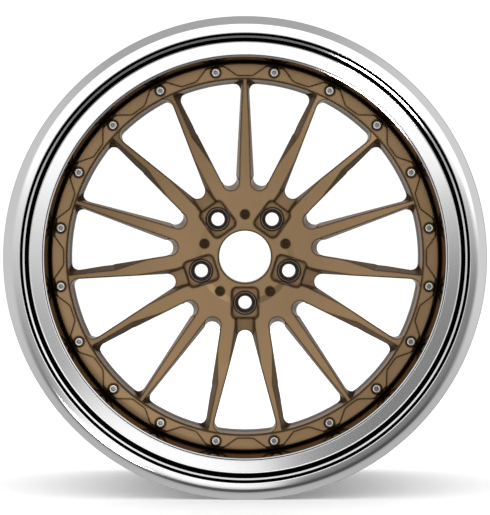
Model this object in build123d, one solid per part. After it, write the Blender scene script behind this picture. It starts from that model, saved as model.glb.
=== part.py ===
from build123d import *

import math
import os

# A forged three-piece racing wheel rim, 21 in by 10.5 in, as separate pieces, in millimetres.
#
# The wheel spins about Y. Its street face looks towards -Y, and Z is up. The origin is where the
# spin axis crosses the plane midway between the two rim flanges. Angles round the wheel run
# clockwise from the top, as seen from the street face. A feature is drawn at the top of the
# wheel, with x along the rim and z outwards, and then turned to its place.

# ---- Rim: seats, flanges and barrel ----
SEAT_RADIUS = 269.1  # tyre seat, at the flange
SEAT_WIDTH = 266.7  # between the bead faces of the two flanges
SEAT_LENGTH = 20.0
SEAT_DROP = 1.8  # the seat tapers by this much over its length
HUMP_RISE = 0.9
HUMP_LENGTH = 3.5
FLANGE_HEIGHT = 17.3
FLANGE_CURL = 12.65  # reach of each flange outside its bead face
FLANGE_TIP = 4.4  # the flange's outer edge, along the axle
WELL_DEPTH = 25.3  # from the seat down to the tyre well
RIM_WALL = 5.8
WELL_RAMP = 48.0  # length of the slope from the well up to the rear seat

# ---- Street-side lip ----
LIP_STEP_DEPTH = 35.0  # from the lip's front face back to its step
LIP_STEP_RISE = 0.4  # the step's cone, from its inner to its outer edge
LIP_STEP_WALL = 6.0
LIP_DRAFT = 3.4  # the wall behind the step opens by this much towards the step
LIP_EDGE_WALL = 3.2  # the lip's inner edge stands this far inside the seat radius
LIP_FACE_WIDTH = 10.1  # flat front face, before it falls back to the flange tip
LIP_FACE_FALL = 2.6
LIP_MOUTH_DRAFT = 1.9  # the lip's mouth narrows by this much down to its ridge
LIP_RIDGE = 2.4  # width of the small ridge inside the lip's mouth
LIP_RIDGE_FALL = 0.6
LIP_RIDGE_DEPTH = 9.0
LIP_LEDGE = 1.6  # the small double edge where the step meets the wall

# ---- Bolted joint of the rim halves and the wheel centre ----
SPLIT_Y = -51.0  # where the two rim halves meet
PLATE = 6.0  # bolting flange of each rim half
SEAL_GROOVE = 4.0  # sealant groove, cut from each half's corner
RING_THICKNESS = 14.0
RING_CLEARANCE = 0.8  # between the wheel centre's ring and the rim wall
RING_EDGE = 9.8  # from the bolt circle out to the ring's outer edge
PLATE_EDGE = 11.4  # from the bolt circle in to the bolting flanges' bore
SPIGOT_CLEARANCE = 0.2
SPIGOT_LENGTH = 11.0
SPIGOT_WALL = 3.0
BOLT_COUNT = 20
BOLT_DIAMETER = 7.0
BOLT_HOLE_CLEARANCE = 0.1
BOLT_HEAD_DIAMETER = 9.9
BOLT_HEAD_HEIGHT = 6.0
BOLT_SOCKET = 5.0  # across the socket's flats
BOLT_SOCKET_DEPTH = 3.5
BOLT_SINK_DIAMETER = 12.4
BOLT_STICK_OUT = 1.5
WASHER_DIAMETER = 14.0
WASHER_THICKNESS = 1.2
NUT_ACROSS_FLATS = 11.0
NUT_HEIGHT = 6.0
THREAD_CLEARANCE = 0.05

# ---- Wheel centre ----
OFFSET = 14.0  # mounting pad, in front of the middle plane
HUB_DEPTH = 38.0
HUB_PAD_RISE = 1.2
HUB_PAD_RADIUS = 52.3
HUB_PAD_SLOPE = 7.4
HUB_FLAT_RADIUS = 85.0
BORE_RADIUS = 32.05
BORE_CHAMFER = 1.3
PAD_RADIUS = 75.0
PAD_STEP = 8.0  # from the mounting pad forward to the back of the spokes
RING_PROUD = 2.2  # the ring's front stands this far in front of the spokes
RING_STEP_WIDTH = 1.9
RING_CHAMFER = 4.2
RING_BACK_CHAMFER = 3.5
SPOKE_TIP_DEPTH = 18.8  # thickness of the spokes at the ring
SPOKE_WAIST = 2.2  # how far the backs of the spokes hollow between hub and ring

# ---- Spokes and windows ----
LUG_COUNT = 5
SPOKES_PER_LUG = 3
SPOKE_ROOT_RADIUS = 101.0  # where the root widths are measured
SPOKE_TIP_INSET = 11.5  # the tip widths are measured this far inside the ring
SPOKE_ROOT_WIDTH = 22.0
SPOKE_TIP_WIDTH = 10.6
WINDOW_INNER_RADIUS = 90.5
WINDOW_MOUTH_RADIUS = 83.0
WINDOW_MOUTH_ROUND = 9.8
WINDOW_MOUTH_SHIFT = 2.2  # the mouth sits this far towards the lone spoke
WINDOW_CORNER = 9.5
BAND_SLOPE = 0.165  # the windows' outer wall leans out by this much per mm of depth
LONE_ROOT_FACE = 13.4  # front face of a spoke that stands between two lugs
LONE_TIP_FACE = 5.6
LONE_FLANK_SLOPE = 0.22
LONE_FLANK_START = 95.5
PAIR_FLANK_SLOPE = 0.41  # the long facet of a spoke that stands beside a lug
PAIR_FACET_START = 108.0
PAIR_FACET_WIDE = 11.5
PAIR_KINK_RADIUS = 159.6
PAIR_KINK_FACE = 0.6
PAIR_TIP_FACE = 0.3

# ---- Lugs ----
LUG_CIRCLE_RADIUS = 57.15
LUG_HOLE_RADIUS = 8.2
LUG_POCKET_WIDTH = 33.4
LUG_POCKET_INNER = 37.4
LUG_POCKET_OUTER = 76.4
LUG_POCKET_CORNER = 6.5
LUG_POCKET_DEPTH = 15.0
LUG_POCKET_DRAFT = 7.0
SEAT_INSERT_RADIUS = 13.5
SEAT_INSERT_LENGTH = 12.0
SEAT_INSERT_GROOVE = 0.7  # gap round the insert's front edge
SEAT_INSERT_SINK = 0.6
SEAT_CONE_RADIUS = 12.7
SEAT_CONE_HALF_ANGLE = 30.0
VALLEY_HALF_WIDTH = 11.9
VALLEY_FAR_RADIUS = 86.0
VALLEY_FAR_HALF_WIDTH = 12.3
VALLEY_END_RADIUS = 130.0
VALLEY_END_HALF_WIDTH = 18.2
VALLEY_WALL_ANGLE = 18.8
VALLEY_START_DEPTH = 7.0
VALLEY_FLOOR_ANGLE = 14.0
PIN_HOLE_CIRCLE_RADIUS = 52.1
PIN_HOLE_RADIUS = 5.2
PIN_HOLE_DEPTH = 6.5
PIN_HOLE_CONE = 3.2

# ---- Ring pockets ----
RING_POCKET_DEPTH = 2.4
RING_POCKET_BOTTOM = 9.8
RING_POCKET_TOP = 25.4
RING_POCKET_INSET = 6.8  # from the bolt circle in to the pocket's inner edge
RING_POCKET_CORNER = 6.0

# ---- Back of the hub ----
BACK_POCKET_DEPTH = 12.0
BACK_POCKET_INNER = 42.0
BACK_POCKET_OUTER = 70.0
BACK_POCKET_INNER_HALF = 6.5
BACK_POCKET_OUTER_HALF = 13.0
BACK_POCKET_CORNER = 5.0

# ---- Tyre valve, at the bottom of the wheel, pointing up at the axle ----
VALVE_SETBACK = 14.5  # behind the rear face of the bolting flanges
VALVE_SPOT_DEPTH = 0.2
VALVE_SPOT_RADIUS = 9.5
VALVE_OUTER_SPOT_DEPTH = 0.4
VALVE_HOLE_RADIUS = 5.65
STEM_RADIUS = 3.9
STEM_LENGTH = 20.0
STEM_BASE_RADIUS = 8.5
STEM_BASE_THICKNESS = 2.5
GROMMET_THICKNESS = 3.0
GROMMET_CLEARANCE = 0.05
VALVE_WASHER_THICKNESS = 1.2
VALVE_NUT_ACROSS_FLATS = 12.0
VALVE_NUT_HEIGHT = 5.0
AIRWAY_RADIUS = 2.2
CORE_TOP_GAP = 1.0  # the core sits this far down the stem
CORE_LENGTH = 12.0
CORE_HEAD_LENGTH = 5.0
CORE_HEAD_RADIUS = 2.65
CORE_BODY_RADIUS = 1.95
CORE_CHAMBER_RADIUS = 1.6
CORE_NECK_RADIUS = 0.75
CORE_NECK_LENGTH = 3.0
CORE_SEAL_LENGTH = 3.0
PIN_RADIUS = 0.5
PIN_BELOW_TOP = 0.3
PIN_COLLAR_RADIUS = 1.3
PIN_COLLAR_THICKNESS = 0.8
PIN_COLLAR_DROP = 2.2
PLUNGER_RADIUS = 1.75
PLUNGER_THICKNESS = 1.6
SPRING_WIRE_RADIUS = 0.15
SPRING_RADIUS = 1.05
SPRING_TURNS = 6
CAP_RADIUS = 5.0
CAP_TOP_THICKNESS = 1.5
CAP_OVERLAP = 7.0  # how far the cap reaches down over the stem
CAP_SEAL_THICKNESS = 1.5
CAP_CLEARANCE = 0.08
CAP_GRIPS = 16
CAP_GRIP_RADIUS = 0.6

# ---- Places worked out from the sizes above ----
FLANGE_RADIUS = SEAT_RADIUS + FLANGE_HEIGHT
BEAD_Y = SEAT_WIDTH / 2
EDGE_Y = BEAD_Y + FLANGE_CURL
WELL_RADIUS = SEAT_RADIUS - WELL_DEPTH
BARREL_BORE = WELL_RADIUS - RIM_WALL
RING_RADIUS = BARREL_BORE - RING_CLEARANCE
BOLT_CIRCLE = RING_RADIUS - RING_EDGE
PLATE_BORE = BOLT_CIRCLE - PLATE_EDGE
SPIGOT_RADIUS = PLATE_BORE - SPIGOT_CLEARANCE
RING_BACK_Y = SPLIT_Y - PLATE
RING_FRONT_Y = RING_BACK_Y - RING_THICKNESS
PLATES_BACK_Y = SPLIT_Y + PLATE
SPIGOT_END_Y = RING_BACK_Y + SPIGOT_LENGTH
PAD_Y = -OFFSET
HUB_FACE_Y = PAD_Y - HUB_DEPTH
TIP_FRONT_Y = RING_FRONT_Y + RING_PROUD
BAND_END_RADIUS = SPIGOT_RADIUS - SPIGOT_WALL
BAND_RADIUS = BAND_END_RADIUS + BAND_SLOPE * (SPIGOT_END_Y - TIP_FRONT_Y)
SPOKE_TIP_RADIUS = BAND_RADIUS - SPOKE_TIP_INSET
SPOKE_BACK_Y = PAD_Y - PAD_STEP
BOLT_ANGLES = [360 / BOLT_COUNT * (k + 0.5) for k in range(BOLT_COUNT)]
LUG_ANGLES = [360 / LUG_COUNT * (k + 0.5) for k in range(LUG_COUNT)]
SPOKE_PITCH = 360 / (LUG_COUNT * SPOKES_PER_LUG)
LUG_FLOOR_Y = HUB_FACE_Y + LUG_POCKET_DEPTH
VALVE_Y = PLATES_BACK_Y + VALVE_SETBACK
VALVE_FOOT_RADIUS = BARREL_BORE + VALVE_SPOT_DEPTH
VALVE_OUTER_RADIUS = WELL_RADIUS - VALVE_OUTER_SPOT_DEPTH

# Places up the valve, measured from the face of the barrel that its washer sits on
WALL_AT_VALVE = VALVE_OUTER_RADIUS - VALVE_FOOT_RADIUS
STEM_BASE_TOP = -WALL_AT_VALVE - GROMMET_THICKNESS
CORE_TOP = STEM_LENGTH - CORE_TOP_GAP
CORE_BOTTOM = CORE_TOP - CORE_LENGTH
CORE_HEAD_BOTTOM = CORE_TOP - CORE_HEAD_LENGTH
CHAMBER_FLOOR = CORE_BOTTOM + CORE_NECK_LENGTH
PIN_TOP = STEM_LENGTH - PIN_BELOW_TOP
COLLAR_BOTTOM = CORE_TOP - PIN_COLLAR_DROP - PIN_COLLAR_THICKNESS


def turned(corners, upright=False):
    """A solid of revolution from its corners, each (radius, place along the axis, rounding).

    The axis is Y, the wheel's own, or Z where the solid is to stand upright.
    """
    section = round_corners([c[:2] for c in corners], [c[2] for c in corners])
    if upright:
        return revolve(Plane.XZ * section, Axis.Z)
    return revolve(section, Axis.Y)


def cut_back(section, y, depth, draft=0.0):
    """A cutter from a section in the street-facing plane at y, going back by depth."""
    back = Plane(origin=(0, y, 0), x_dir=(1, 0, 0), z_dir=(0, 1, 0))
    return extrude(back * mirror(section, Plane.XZ), depth, taper=draft)


def at_angle(solid, degrees):
    """The solid turned clockwise round the wheel from the top."""
    return Rot(0, degrees, 0) * solid


def round_corners(points, radii):
    """A face from its corners, each with its own rounding."""
    return make_face(FilletPolyline(*points, radius=radii, close=True))


def both_sides(half):
    """The outline of corners given for x above 0, joined to its mirror image."""
    return half + [(-x, z) for x, z in reversed(half)]


def blend(value, start, end):
    """The line through two (place, value) pairs, at a place."""
    return start[1] + (value - start[0]) * (end[1] - start[1]) / (end[0] - start[0])


# ---- Rim halves ----


def tyre_side(side):
    """Corners from the seat's hump to the flange tip, on the side (-1 or 1) of the rim."""
    seat_end = SEAT_RADIUS - SEAT_DROP
    hump_y = BEAD_Y - SEAT_LENGTH - HUMP_LENGTH
    curl_radius = FLANGE_RADIUS - FLANGE_TIP - 1.4
    return [
        (seat_end + HUMP_RISE, side * hump_y, 2.5),
        (seat_end, side * (BEAD_Y - SEAT_LENGTH), 2.5),
        (SEAT_RADIUS, side * BEAD_Y, 6.0),
        (curl_radius, side * BEAD_Y, 8.0),
        (FLANGE_RADIUS, side * (EDGE_Y - FLANGE_TIP), 0.8),
    ]


def outer_rim_half():
    """The street side of the rim: stepped lip, flange, seat and bolting flange."""
    step_radius = SEAT_RADIUS - LIP_EDGE_WALL - LIP_STEP_WALL
    step_y = -EDGE_Y + LIP_STEP_DEPTH
    wall_radius = BARREL_BORE - 0.2
    mouth_radius = wall_radius + LIP_DRAFT
    ledge_radius = mouth_radius + LIP_LEDGE
    ledge_y = step_y + LIP_STEP_RISE + LIP_LEDGE
    edge_radius = SEAT_RADIUS - LIP_EDGE_WALL
    ridge_radius = edge_radius - LIP_MOUTH_DRAFT
    ridge_y = -EDGE_Y + LIP_RIDGE_DEPTH
    front = [
        (PLATE_BORE, RING_BACK_Y, 0),
        (wall_radius, RING_BACK_Y, 2.5),
        (mouth_radius, ledge_y, 0.5),
        (ledge_radius, ledge_y - 0.4, 0.5),
        (ledge_radius + 0.9, step_y + LIP_STEP_RISE, 0.5),
        (step_radius, step_y, 2.0),
        (ridge_radius - LIP_RIDGE, ridge_y + LIP_RIDGE_FALL, 0.4),
        (ridge_radius, ridge_y, 0.4),
        (edge_radius, -EDGE_Y, 1.6),
        (edge_radius + LIP_FACE_WIDTH, -EDGE_Y, 20.0),
        (FLANGE_RADIUS, -EDGE_Y + LIP_FACE_FALL, 1.0),
    ]
    well_start = step_y + LIP_STEP_WALL
    back = [
        (SEAT_RADIUS - SEAT_DROP - 0.8, well_start, 3.0),
        (mouth_radius + RIM_WALL + 3.0, well_start + LIP_STEP_RISE, 4.0),
        (mouth_radius + RIM_WALL, well_start + LIP_STEP_RISE + 4.0, 6.0),
        (WELL_RADIUS, SPLIT_Y - SEAL_GROOVE, 0),
        (WELL_RADIUS - SEAL_GROOVE, SPLIT_Y, 0),
        (PLATE_BORE, SPLIT_Y, 0),
    ]
    blank = turned(front + tyre_side(-1)[::-1] + back)
    return blank - joint_holes(RING_BACK_Y, PLATE)


def inner_rim_half():
    """The car side of the rim: bolting flange, tyre well, ramp, seat and flange."""
    well_end = BEAD_Y - SEAT_LENGTH - HUMP_LENGTH * 2 - WELL_RAMP
    ramp_end = BEAD_Y - SEAT_LENGTH - HUMP_LENGTH * 2 - 6.0
    seat_bore = SEAT_RADIUS - RIM_WALL
    outline = [
        (PLATE_BORE, SPLIT_Y, 0),
        (WELL_RADIUS - SEAL_GROOVE, SPLIT_Y, 0),
        (WELL_RADIUS, SPLIT_Y + SEAL_GROOVE, 0),
        (WELL_RADIUS, well_end, 15.0),
        (SEAT_RADIUS - SEAT_DROP - 0.8, ramp_end, 5.0),
    ]
    inside = [
        (FLANGE_RADIUS, EDGE_Y, 1.4),
        (seat_bore + 2.0, EDGE_Y, 2.0),
        (seat_bore, EDGE_Y - 6.0, 2.0),
        (seat_bore, ramp_end + 4.0, 12.0),
        (BARREL_BORE, well_end + 3.0, 18.0),
        (BARREL_BORE, PLATES_BACK_Y, 2.5),
        (PLATE_BORE, PLATES_BACK_Y, 0),
    ]
    blank = turned(outline + tyre_side(1) + inside)
    return blank - joint_holes(SPLIT_Y, PLATE) - valve_cuts()


def rim_seal():
    """The bead of sealant in the groove where the two rim halves meet."""
    return turned(
        [
            (WELL_RADIUS - SEAL_GROOVE, SPLIT_Y, 0),
            (WELL_RADIUS, SPLIT_Y - SEAL_GROOVE, 0),
            (WELL_RADIUS + 0.6, SPLIT_Y, 1.5),
            (WELL_RADIUS, SPLIT_Y + SEAL_GROOVE, 0),
        ]
    )


# ---- Assembly bolts, washers and nuts ----


def round_the_joint(solid):
    """One copy of the solid at each bolt, from one drawn at the top of the wheel."""
    return [at_angle(solid, angle) for angle in BOLT_ANGLES]


def peg(radius, y, length):
    """A plain rod on the bolt circle at the top of the wheel, going back from y."""
    return cut_back(Pos(0, BOLT_CIRCLE) * Circle(radius), y, length)


def joint_holes(y, depth):
    """The bolt holes through a plate that starts at y."""
    hole_radius = BOLT_DIAMETER / 2 + BOLT_HOLE_CLEARANCE
    return round_the_joint(peg(hole_radius, y - 1, depth + 2))


def hexagon(across_flats):
    """A hexagon face about the origin, by its width across the flats."""
    return RegularPolygon(across_flats / 2, 6, major_radius=False)


def assembly_bolts():
    """The socket-head bolts that clamp the rim halves to the wheel centre."""
    head_y = RING_FRONT_Y
    seat_y = head_y + BOLT_HEAD_HEIGHT
    nut_end = PLATES_BACK_Y + WASHER_THICKNESS + NUT_HEIGHT
    head = peg(BOLT_HEAD_DIAMETER / 2, head_y, BOLT_HEAD_HEIGHT)
    head = chamfer(head.edges().group_by(Axis.Y)[0], 0.6)
    socket = cut_back(Pos(0, BOLT_CIRCLE) * hexagon(BOLT_SOCKET), head_y - 1, BOLT_SOCKET_DEPTH + 1)
    shank = peg(BOLT_DIAMETER / 2, seat_y - 1, nut_end + BOLT_STICK_OUT - seat_y + 1)
    shank = chamfer(shank.edges().group_by(Axis.Y)[-1], 0.6)
    return Compound(round_the_joint(head + shank - socket))


def assembly_washers():
    """The plain washers under the nuts."""
    washer = peg(WASHER_DIAMETER / 2, PLATES_BACK_Y, WASHER_THICKNESS)
    hole = peg(BOLT_DIAMETER / 2 + BOLT_HOLE_CLEARANCE, PLATES_BACK_Y - 1, WASHER_THICKNESS + 2)
    return Compound(round_the_joint(washer - hole))


def assembly_nuts():
    """The hexagon nuts behind the bolting flanges, with bevelled corners."""
    nut_y = PLATES_BACK_Y + WASHER_THICKNESS
    nut = cut_back(Pos(0, BOLT_CIRCLE) * hexagon(NUT_ACROSS_FLATS), nut_y, NUT_HEIGHT)
    bevel = Pos(0, nut_y + NUT_HEIGHT / 2, BOLT_CIRCLE) * Rot(90, 0, 0) * Cylinder(
        NUT_ACROSS_FLATS / 2 / math.cos(math.radians(24)), NUT_HEIGHT
    )
    bevel = chamfer(bevel.edges().group_by(Axis.Y)[-1], 0.5)
    hole = peg(BOLT_DIAMETER / 2 + THREAD_CLEARANCE, nut_y - 1, NUT_HEIGHT + 2)
    return Compound(round_the_joint((nut & bevel) - hole))


# ---- Wheel centre ----


def spoke_front_y(radius):
    """The depth of the spokes' fronts at a radius: flat over the hub, then an arc to the ring."""
    reach = BAND_RADIUS - HUB_FLAT_RADIUS
    rise = HUB_FACE_Y - TIP_FRONT_Y
    arc_radius = (reach**2 + rise**2) / (2 * rise)
    across = max(radius - HUB_FLAT_RADIUS, 0)
    return HUB_FACE_Y - (arc_radius - math.sqrt(arc_radius**2 - across**2))


def centre_blank():
    """The forging before the windows are cut: hub, dished web, ring and spigot."""
    hub_y = HUB_FACE_Y - HUB_PAD_RISE
    middle = (HUB_FLAT_RADIUS + BAND_RADIUS) / 2
    tip_back_y = TIP_FRONT_Y + SPOKE_TIP_DEPTH
    back_start = (PAD_RADIUS + 4.0, SPOKE_BACK_Y)
    back_end = (BAND_END_RADIUS - 1.0, tip_back_y)
    back_middle = (
        (back_start[0] + back_end[0]) / 2,
        (back_start[1] + back_end[1]) / 2 - SPOKE_WAIST,
    )
    front = Polyline(
        (BORE_RADIUS, hub_y + BORE_CHAMFER),
        (BORE_RADIUS + BORE_CHAMFER, hub_y),
        (HUB_PAD_RADIUS, hub_y),
        (HUB_PAD_RADIUS + HUB_PAD_SLOPE, HUB_FACE_Y),
        (HUB_FLAT_RADIUS, HUB_FACE_Y),
    )
    dish = ThreePointArc(
        (HUB_FLAT_RADIUS, HUB_FACE_Y), (middle, spoke_front_y(middle)), (BAND_RADIUS, TIP_FRONT_Y)
    )
    ring = Polyline(
        (BAND_RADIUS, TIP_FRONT_Y),
        (BAND_RADIUS + RING_STEP_WIDTH, RING_FRONT_Y),
        (RING_RADIUS - RING_CHAMFER, RING_FRONT_Y),
        (RING_RADIUS, RING_FRONT_Y + RING_CHAMFER),
        (RING_RADIUS, RING_BACK_Y - RING_BACK_CHAMFER),
        (RING_RADIUS - RING_BACK_CHAMFER, RING_BACK_Y),
        (SPIGOT_RADIUS, RING_BACK_Y),
        (SPIGOT_RADIUS, SPIGOT_END_Y),
        (BAND_END_RADIUS, SPIGOT_END_Y),
        back_end,
    )
    back = ThreePointArc(back_end, back_middle, back_start)
    hub = Polyline(
        back_start,
        (PAD_RADIUS, PAD_Y),
        (BORE_RADIUS + BORE_CHAMFER, PAD_Y),
        (BORE_RADIUS, PAD_Y - BORE_CHAMFER),
        (BORE_RADIUS, hub_y + BORE_CHAMFER),
    )
    return revolve(make_face(front + dish + ring + back + hub), Axis.Y)


def half_width(radius, root_width, tip_width):
    """Half of a spoke's width at a radius, for widths measured at its root and its tip."""
    ends = (SPOKE_ROOT_RADIUS, root_width / 2), (SPOKE_TIP_RADIUS, tip_width / 2)
    return blend(radius, *ends)


def beside_spoke(radius, offset):
    """A place in a window drawn at the top, beside the spoke on its right: x and z."""
    turn = math.radians(SPOKE_PITCH / 2)
    x = radius * math.sin(turn) - offset * math.cos(turn)
    z = radius * math.cos(turn) + offset * math.sin(turn)
    return x, z


def inside_the_ring():
    """All that lies inside the cone which the windows' outer wall follows."""
    front_y = TIP_FRONT_Y - 10
    back_y = PAD_Y + 10
    front_radius = BAND_RADIUS - BAND_SLOPE * (front_y - TIP_FRONT_Y)
    back_radius = BAND_RADIUS - BAND_SLOPE * (back_y - TIP_FRONT_Y)
    return turned([(0, front_y, 0), (front_radius, front_y, 0), (back_radius, back_y, 0), (0, back_y, 0)])


def window():
    """The through window between two spokes, drawn at the top of the wheel."""
    near = beside_spoke(SPOKE_ROOT_RADIUS, half_width(SPOKE_ROOT_RADIUS, SPOKE_ROOT_WIDTH, SPOKE_TIP_WIDTH))
    far_radius = BAND_RADIUS + 20
    far = beside_spoke(far_radius, half_width(far_radius, SPOKE_ROOT_WIDTH, SPOKE_TIP_WIDTH))
    lean = math.atan2(far[0] - near[0], far[1] - near[1])
    gap = near[0] * math.cos(lean) - near[1] * math.sin(lean)
    radius = (WINDOW_INNER_RADIUS * math.sin(lean) + gap) / (1 - math.sin(lean))
    centre = WINDOW_INNER_RADIUS + radius
    touch = (radius * math.cos(lean), centre - radius * math.sin(lean))
    right = Polyline(touch, far, (-far[0], far[1]), (-touch[0], touch[1]))
    inner = ThreePointArc((-touch[0], touch[1]), (0, WINDOW_INNER_RADIUS), touch)
    front_y = TIP_FRONT_Y - 5
    cutter = cut_back(make_face(right + inner), front_y, PAD_Y - front_y + 5) & inside_the_ring()
    outer = cutter.faces().filter_by(GeomType.CONE).sort_by(Axis.Z)[-1]
    corners = [e for e in outer.edges() if abs(e.tangent_at(0.5).Y) > 0.9]
    return fillet(corners, WINDOW_CORNER)


def flank(sections, slope):
    """A cutter that takes off the side of a spoke above a slanting facet.

    Each section is (radius, offset, front depth, facet depth): the facet leaves the spoke's front
    at that offset from its centreline and slants outwards as it goes down to the facet depth.
    """
    faces = []
    for radius, offset, front_y, depth in sections:
        above = 8.0
        beyond = 12.0
        corners = [
            (offset - slope * above, front_y - above),
            (offset + slope * depth, front_y + depth),
            (offset + slope * depth + beyond, front_y + depth + beyond),
            (offset + slope * depth + beyond, front_y - above),
        ]
        lean = (WINDOW_INNER_RADIUS - WINDOW_MOUTH_RADIUS) / (SPOKE_BACK_Y - HUB_FACE_Y)
        points = [(x, y, radius + lean * (y - front_y)) for x, y in corners]
        faces.append(Face(Wire.make_polygon(points)))
    return loft(faces, ruled=True) & inside_the_ring()


def lone_flank():
    """The facet cutter for the right side of a spoke that stands between two lugs."""
    start = LONE_FLANK_START
    end = BAND_RADIUS + 8
    fronts = (start, spoke_front_y(start)), (BAND_RADIUS, TIP_FRONT_Y)
    sections = []
    for radius in (start, end):
        face = half_width(radius, LONE_ROOT_FACE, LONE_TIP_FACE)
        body = half_width(radius, SPOKE_ROOT_WIDTH, SPOKE_TIP_WIDTH)
        sections.append((radius, face, blend(radius, *fronts), (body - face) / LONE_FLANK_SLOPE))
    return flank(sections, LONE_FLANK_SLOPE)


def pair_flank():
    """The facet cutter for a spoke beside a lug, on the side that faces away from the lug."""
    end = BAND_RADIUS + 8
    kink = (PAIR_KINK_RADIUS, spoke_front_y(PAIR_KINK_RADIUS))
    inner_fronts = (PAIR_FACET_START, spoke_front_y(PAIR_FACET_START)), kink
    outer_fronts = kink, (BAND_RADIUS, TIP_FRONT_Y)
    sections = []
    for radius, face, fronts in (
        (PAIR_FACET_START, PAIR_FACET_WIDE, inner_fronts),
        (PAIR_KINK_RADIUS, PAIR_KINK_FACE, inner_fronts),
        (end, PAIR_TIP_FACE, outer_fronts),
    ):
        body = half_width(radius, SPOKE_ROOT_WIDTH, SPOKE_TIP_WIDTH)
        depth = max((body - face) / PAIR_FLANK_SLOPE, 1.5)
        sections.append((radius, face, blend(radius, *fronts), depth))
    return flank(sections, PAIR_FLANK_SLOPE)


def window_mouth():
    """The slanting inner end of a window beside a lone spoke, which is on the window's left."""
    depth = SPOKE_BACK_Y - HUB_FACE_Y
    lean = WINDOW_INNER_RADIUS - WINDOW_MOUTH_RADIUS
    centre = WINDOW_MOUTH_RADIUS + WINDOW_MOUTH_ROUND
    front = Plane.XZ.offset(-HUB_FACE_Y) * Pos(-WINDOW_MOUTH_SHIFT, centre) * Circle(WINDOW_MOUTH_ROUND)
    along = Vector(WINDOW_MOUTH_SHIFT, depth, lean)
    ahead = 0.2
    front = Pos(*(along * -ahead)) * front
    return extrude(front, along.length * (1 + ahead), dir=along.normalized())


def valley():
    """The sunk channel from a lug's pocket out to the window beyond it."""
    ahead = 4.0
    widen = ahead * math.tan(math.radians(VALLEY_WALL_ANGLE))
    start = LUG_POCKET_OUTER - 6.0
    outline = both_sides(
        [
            (VALLEY_HALF_WIDTH + widen, start),
            (VALLEY_FAR_HALF_WIDTH + widen, VALLEY_FAR_RADIUS),
            (VALLEY_END_HALF_WIDTH + widen, VALLEY_END_RADIUS),
        ]
    )
    front_y = HUB_FACE_Y - ahead
    depth = ahead + 24.0
    channel = cut_back(make_face(Polyline(*outline, close=True)), front_y, depth, VALLEY_WALL_ANGLE)
    floor_y = HUB_FACE_Y + VALLEY_START_DEPTH
    fall = math.tan(math.radians(VALLEY_FLOOR_ANGLE))
    end = VALLEY_END_RADIUS + 10
    side = [
        (front_y - 1, start - 10),
        (floor_y, start - 10),
        (floor_y, LUG_POCKET_OUTER),
        (floor_y + fall * (end - LUG_POCKET_OUTER), end),
        (front_y - 1, end),
    ]
    above_floor = extrude(Plane.YZ * make_face(Polyline(*side, close=True)), 30, both=True)
    return channel & above_floor


def lug_pocket():
    """The rounded pocket round a lug hole, the hole, and the bore that its steel seat fits."""
    middle = (LUG_POCKET_INNER + LUG_POCKET_OUTER) / 2
    length = LUG_POCKET_OUTER - LUG_POCKET_INNER
    outline = Pos(0, middle) * RectangleRounded(LUG_POCKET_WIDTH, length, LUG_POCKET_CORNER)
    pocket = cut_back(outline, HUB_FACE_Y, LUG_POCKET_DEPTH, LUG_POCKET_DRAFT)
    above = cut_back(outline, HUB_FACE_Y - 3, 3)
    at_lug = Pos(0, LUG_CIRCLE_RADIUS)
    groove_radius = SEAT_INSERT_RADIUS + SEAT_INSERT_GROOVE
    groove = cut_back(at_lug * Circle(groove_radius), LUG_FLOOR_Y - 1, SEAT_INSERT_SINK + 2.2)
    bore = cut_back(at_lug * Circle(SEAT_INSERT_RADIUS), LUG_FLOOR_Y, SEAT_INSERT_SINK + SEAT_INSERT_LENGTH)
    hole = cut_back(at_lug * Circle(LUG_HOLE_RADIUS), LUG_FLOOR_Y, PAD_Y - LUG_FLOOR_Y + 1)
    return pocket + above + groove + bore + hole


def lug_seat(angle):
    """A conical steel seat, pressed into the wheel centre at a lug hole."""
    cone_depth = (SEAT_CONE_RADIUS - LUG_HOLE_RADIUS) / math.tan(math.radians(SEAT_CONE_HALF_ANGLE))
    seat = turned(
        [
            (LUG_HOLE_RADIUS, cone_depth, 0),
            (SEAT_CONE_RADIUS, 0, 0.2),
            (SEAT_INSERT_RADIUS, 0, 0.4),
            (SEAT_INSERT_RADIUS, SEAT_INSERT_LENGTH, 0),
            (LUG_HOLE_RADIUS, SEAT_INSERT_LENGTH, 0),
        ]
    )
    return at_angle(Pos(0, LUG_FLOOR_Y + SEAT_INSERT_SINK, LUG_CIRCLE_RADIUS) * seat, angle)


def pin_hole():
    """A blind drilled hole in the hub's front, between two lugs, with its drill point."""
    front_y = HUB_FACE_Y - HUB_PAD_RISE
    hole = turned(
        [
            (0, front_y - 1, 0),
            (PIN_HOLE_RADIUS, front_y - 1, 0),
            (PIN_HOLE_RADIUS, front_y + PIN_HOLE_DEPTH, 0),
            (0, front_y + PIN_HOLE_DEPTH + PIN_HOLE_CONE, 0),
        ]
    )
    return Pos(0, 0, PIN_HOLE_CIRCLE_RADIUS) * hole


def back_pocket():
    """A lightening pocket in the mounting pad, between two lug holes."""
    outline = round_corners(
        both_sides(
            [(BACK_POCKET_INNER_HALF, BACK_POCKET_INNER), (BACK_POCKET_OUTER_HALF, BACK_POCKET_OUTER)]
        ),
        [BACK_POCKET_CORNER] * 4,
    )
    return cut_back(outline, PAD_Y - BACK_POCKET_DEPTH, BACK_POCKET_DEPTH + 1)


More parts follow.
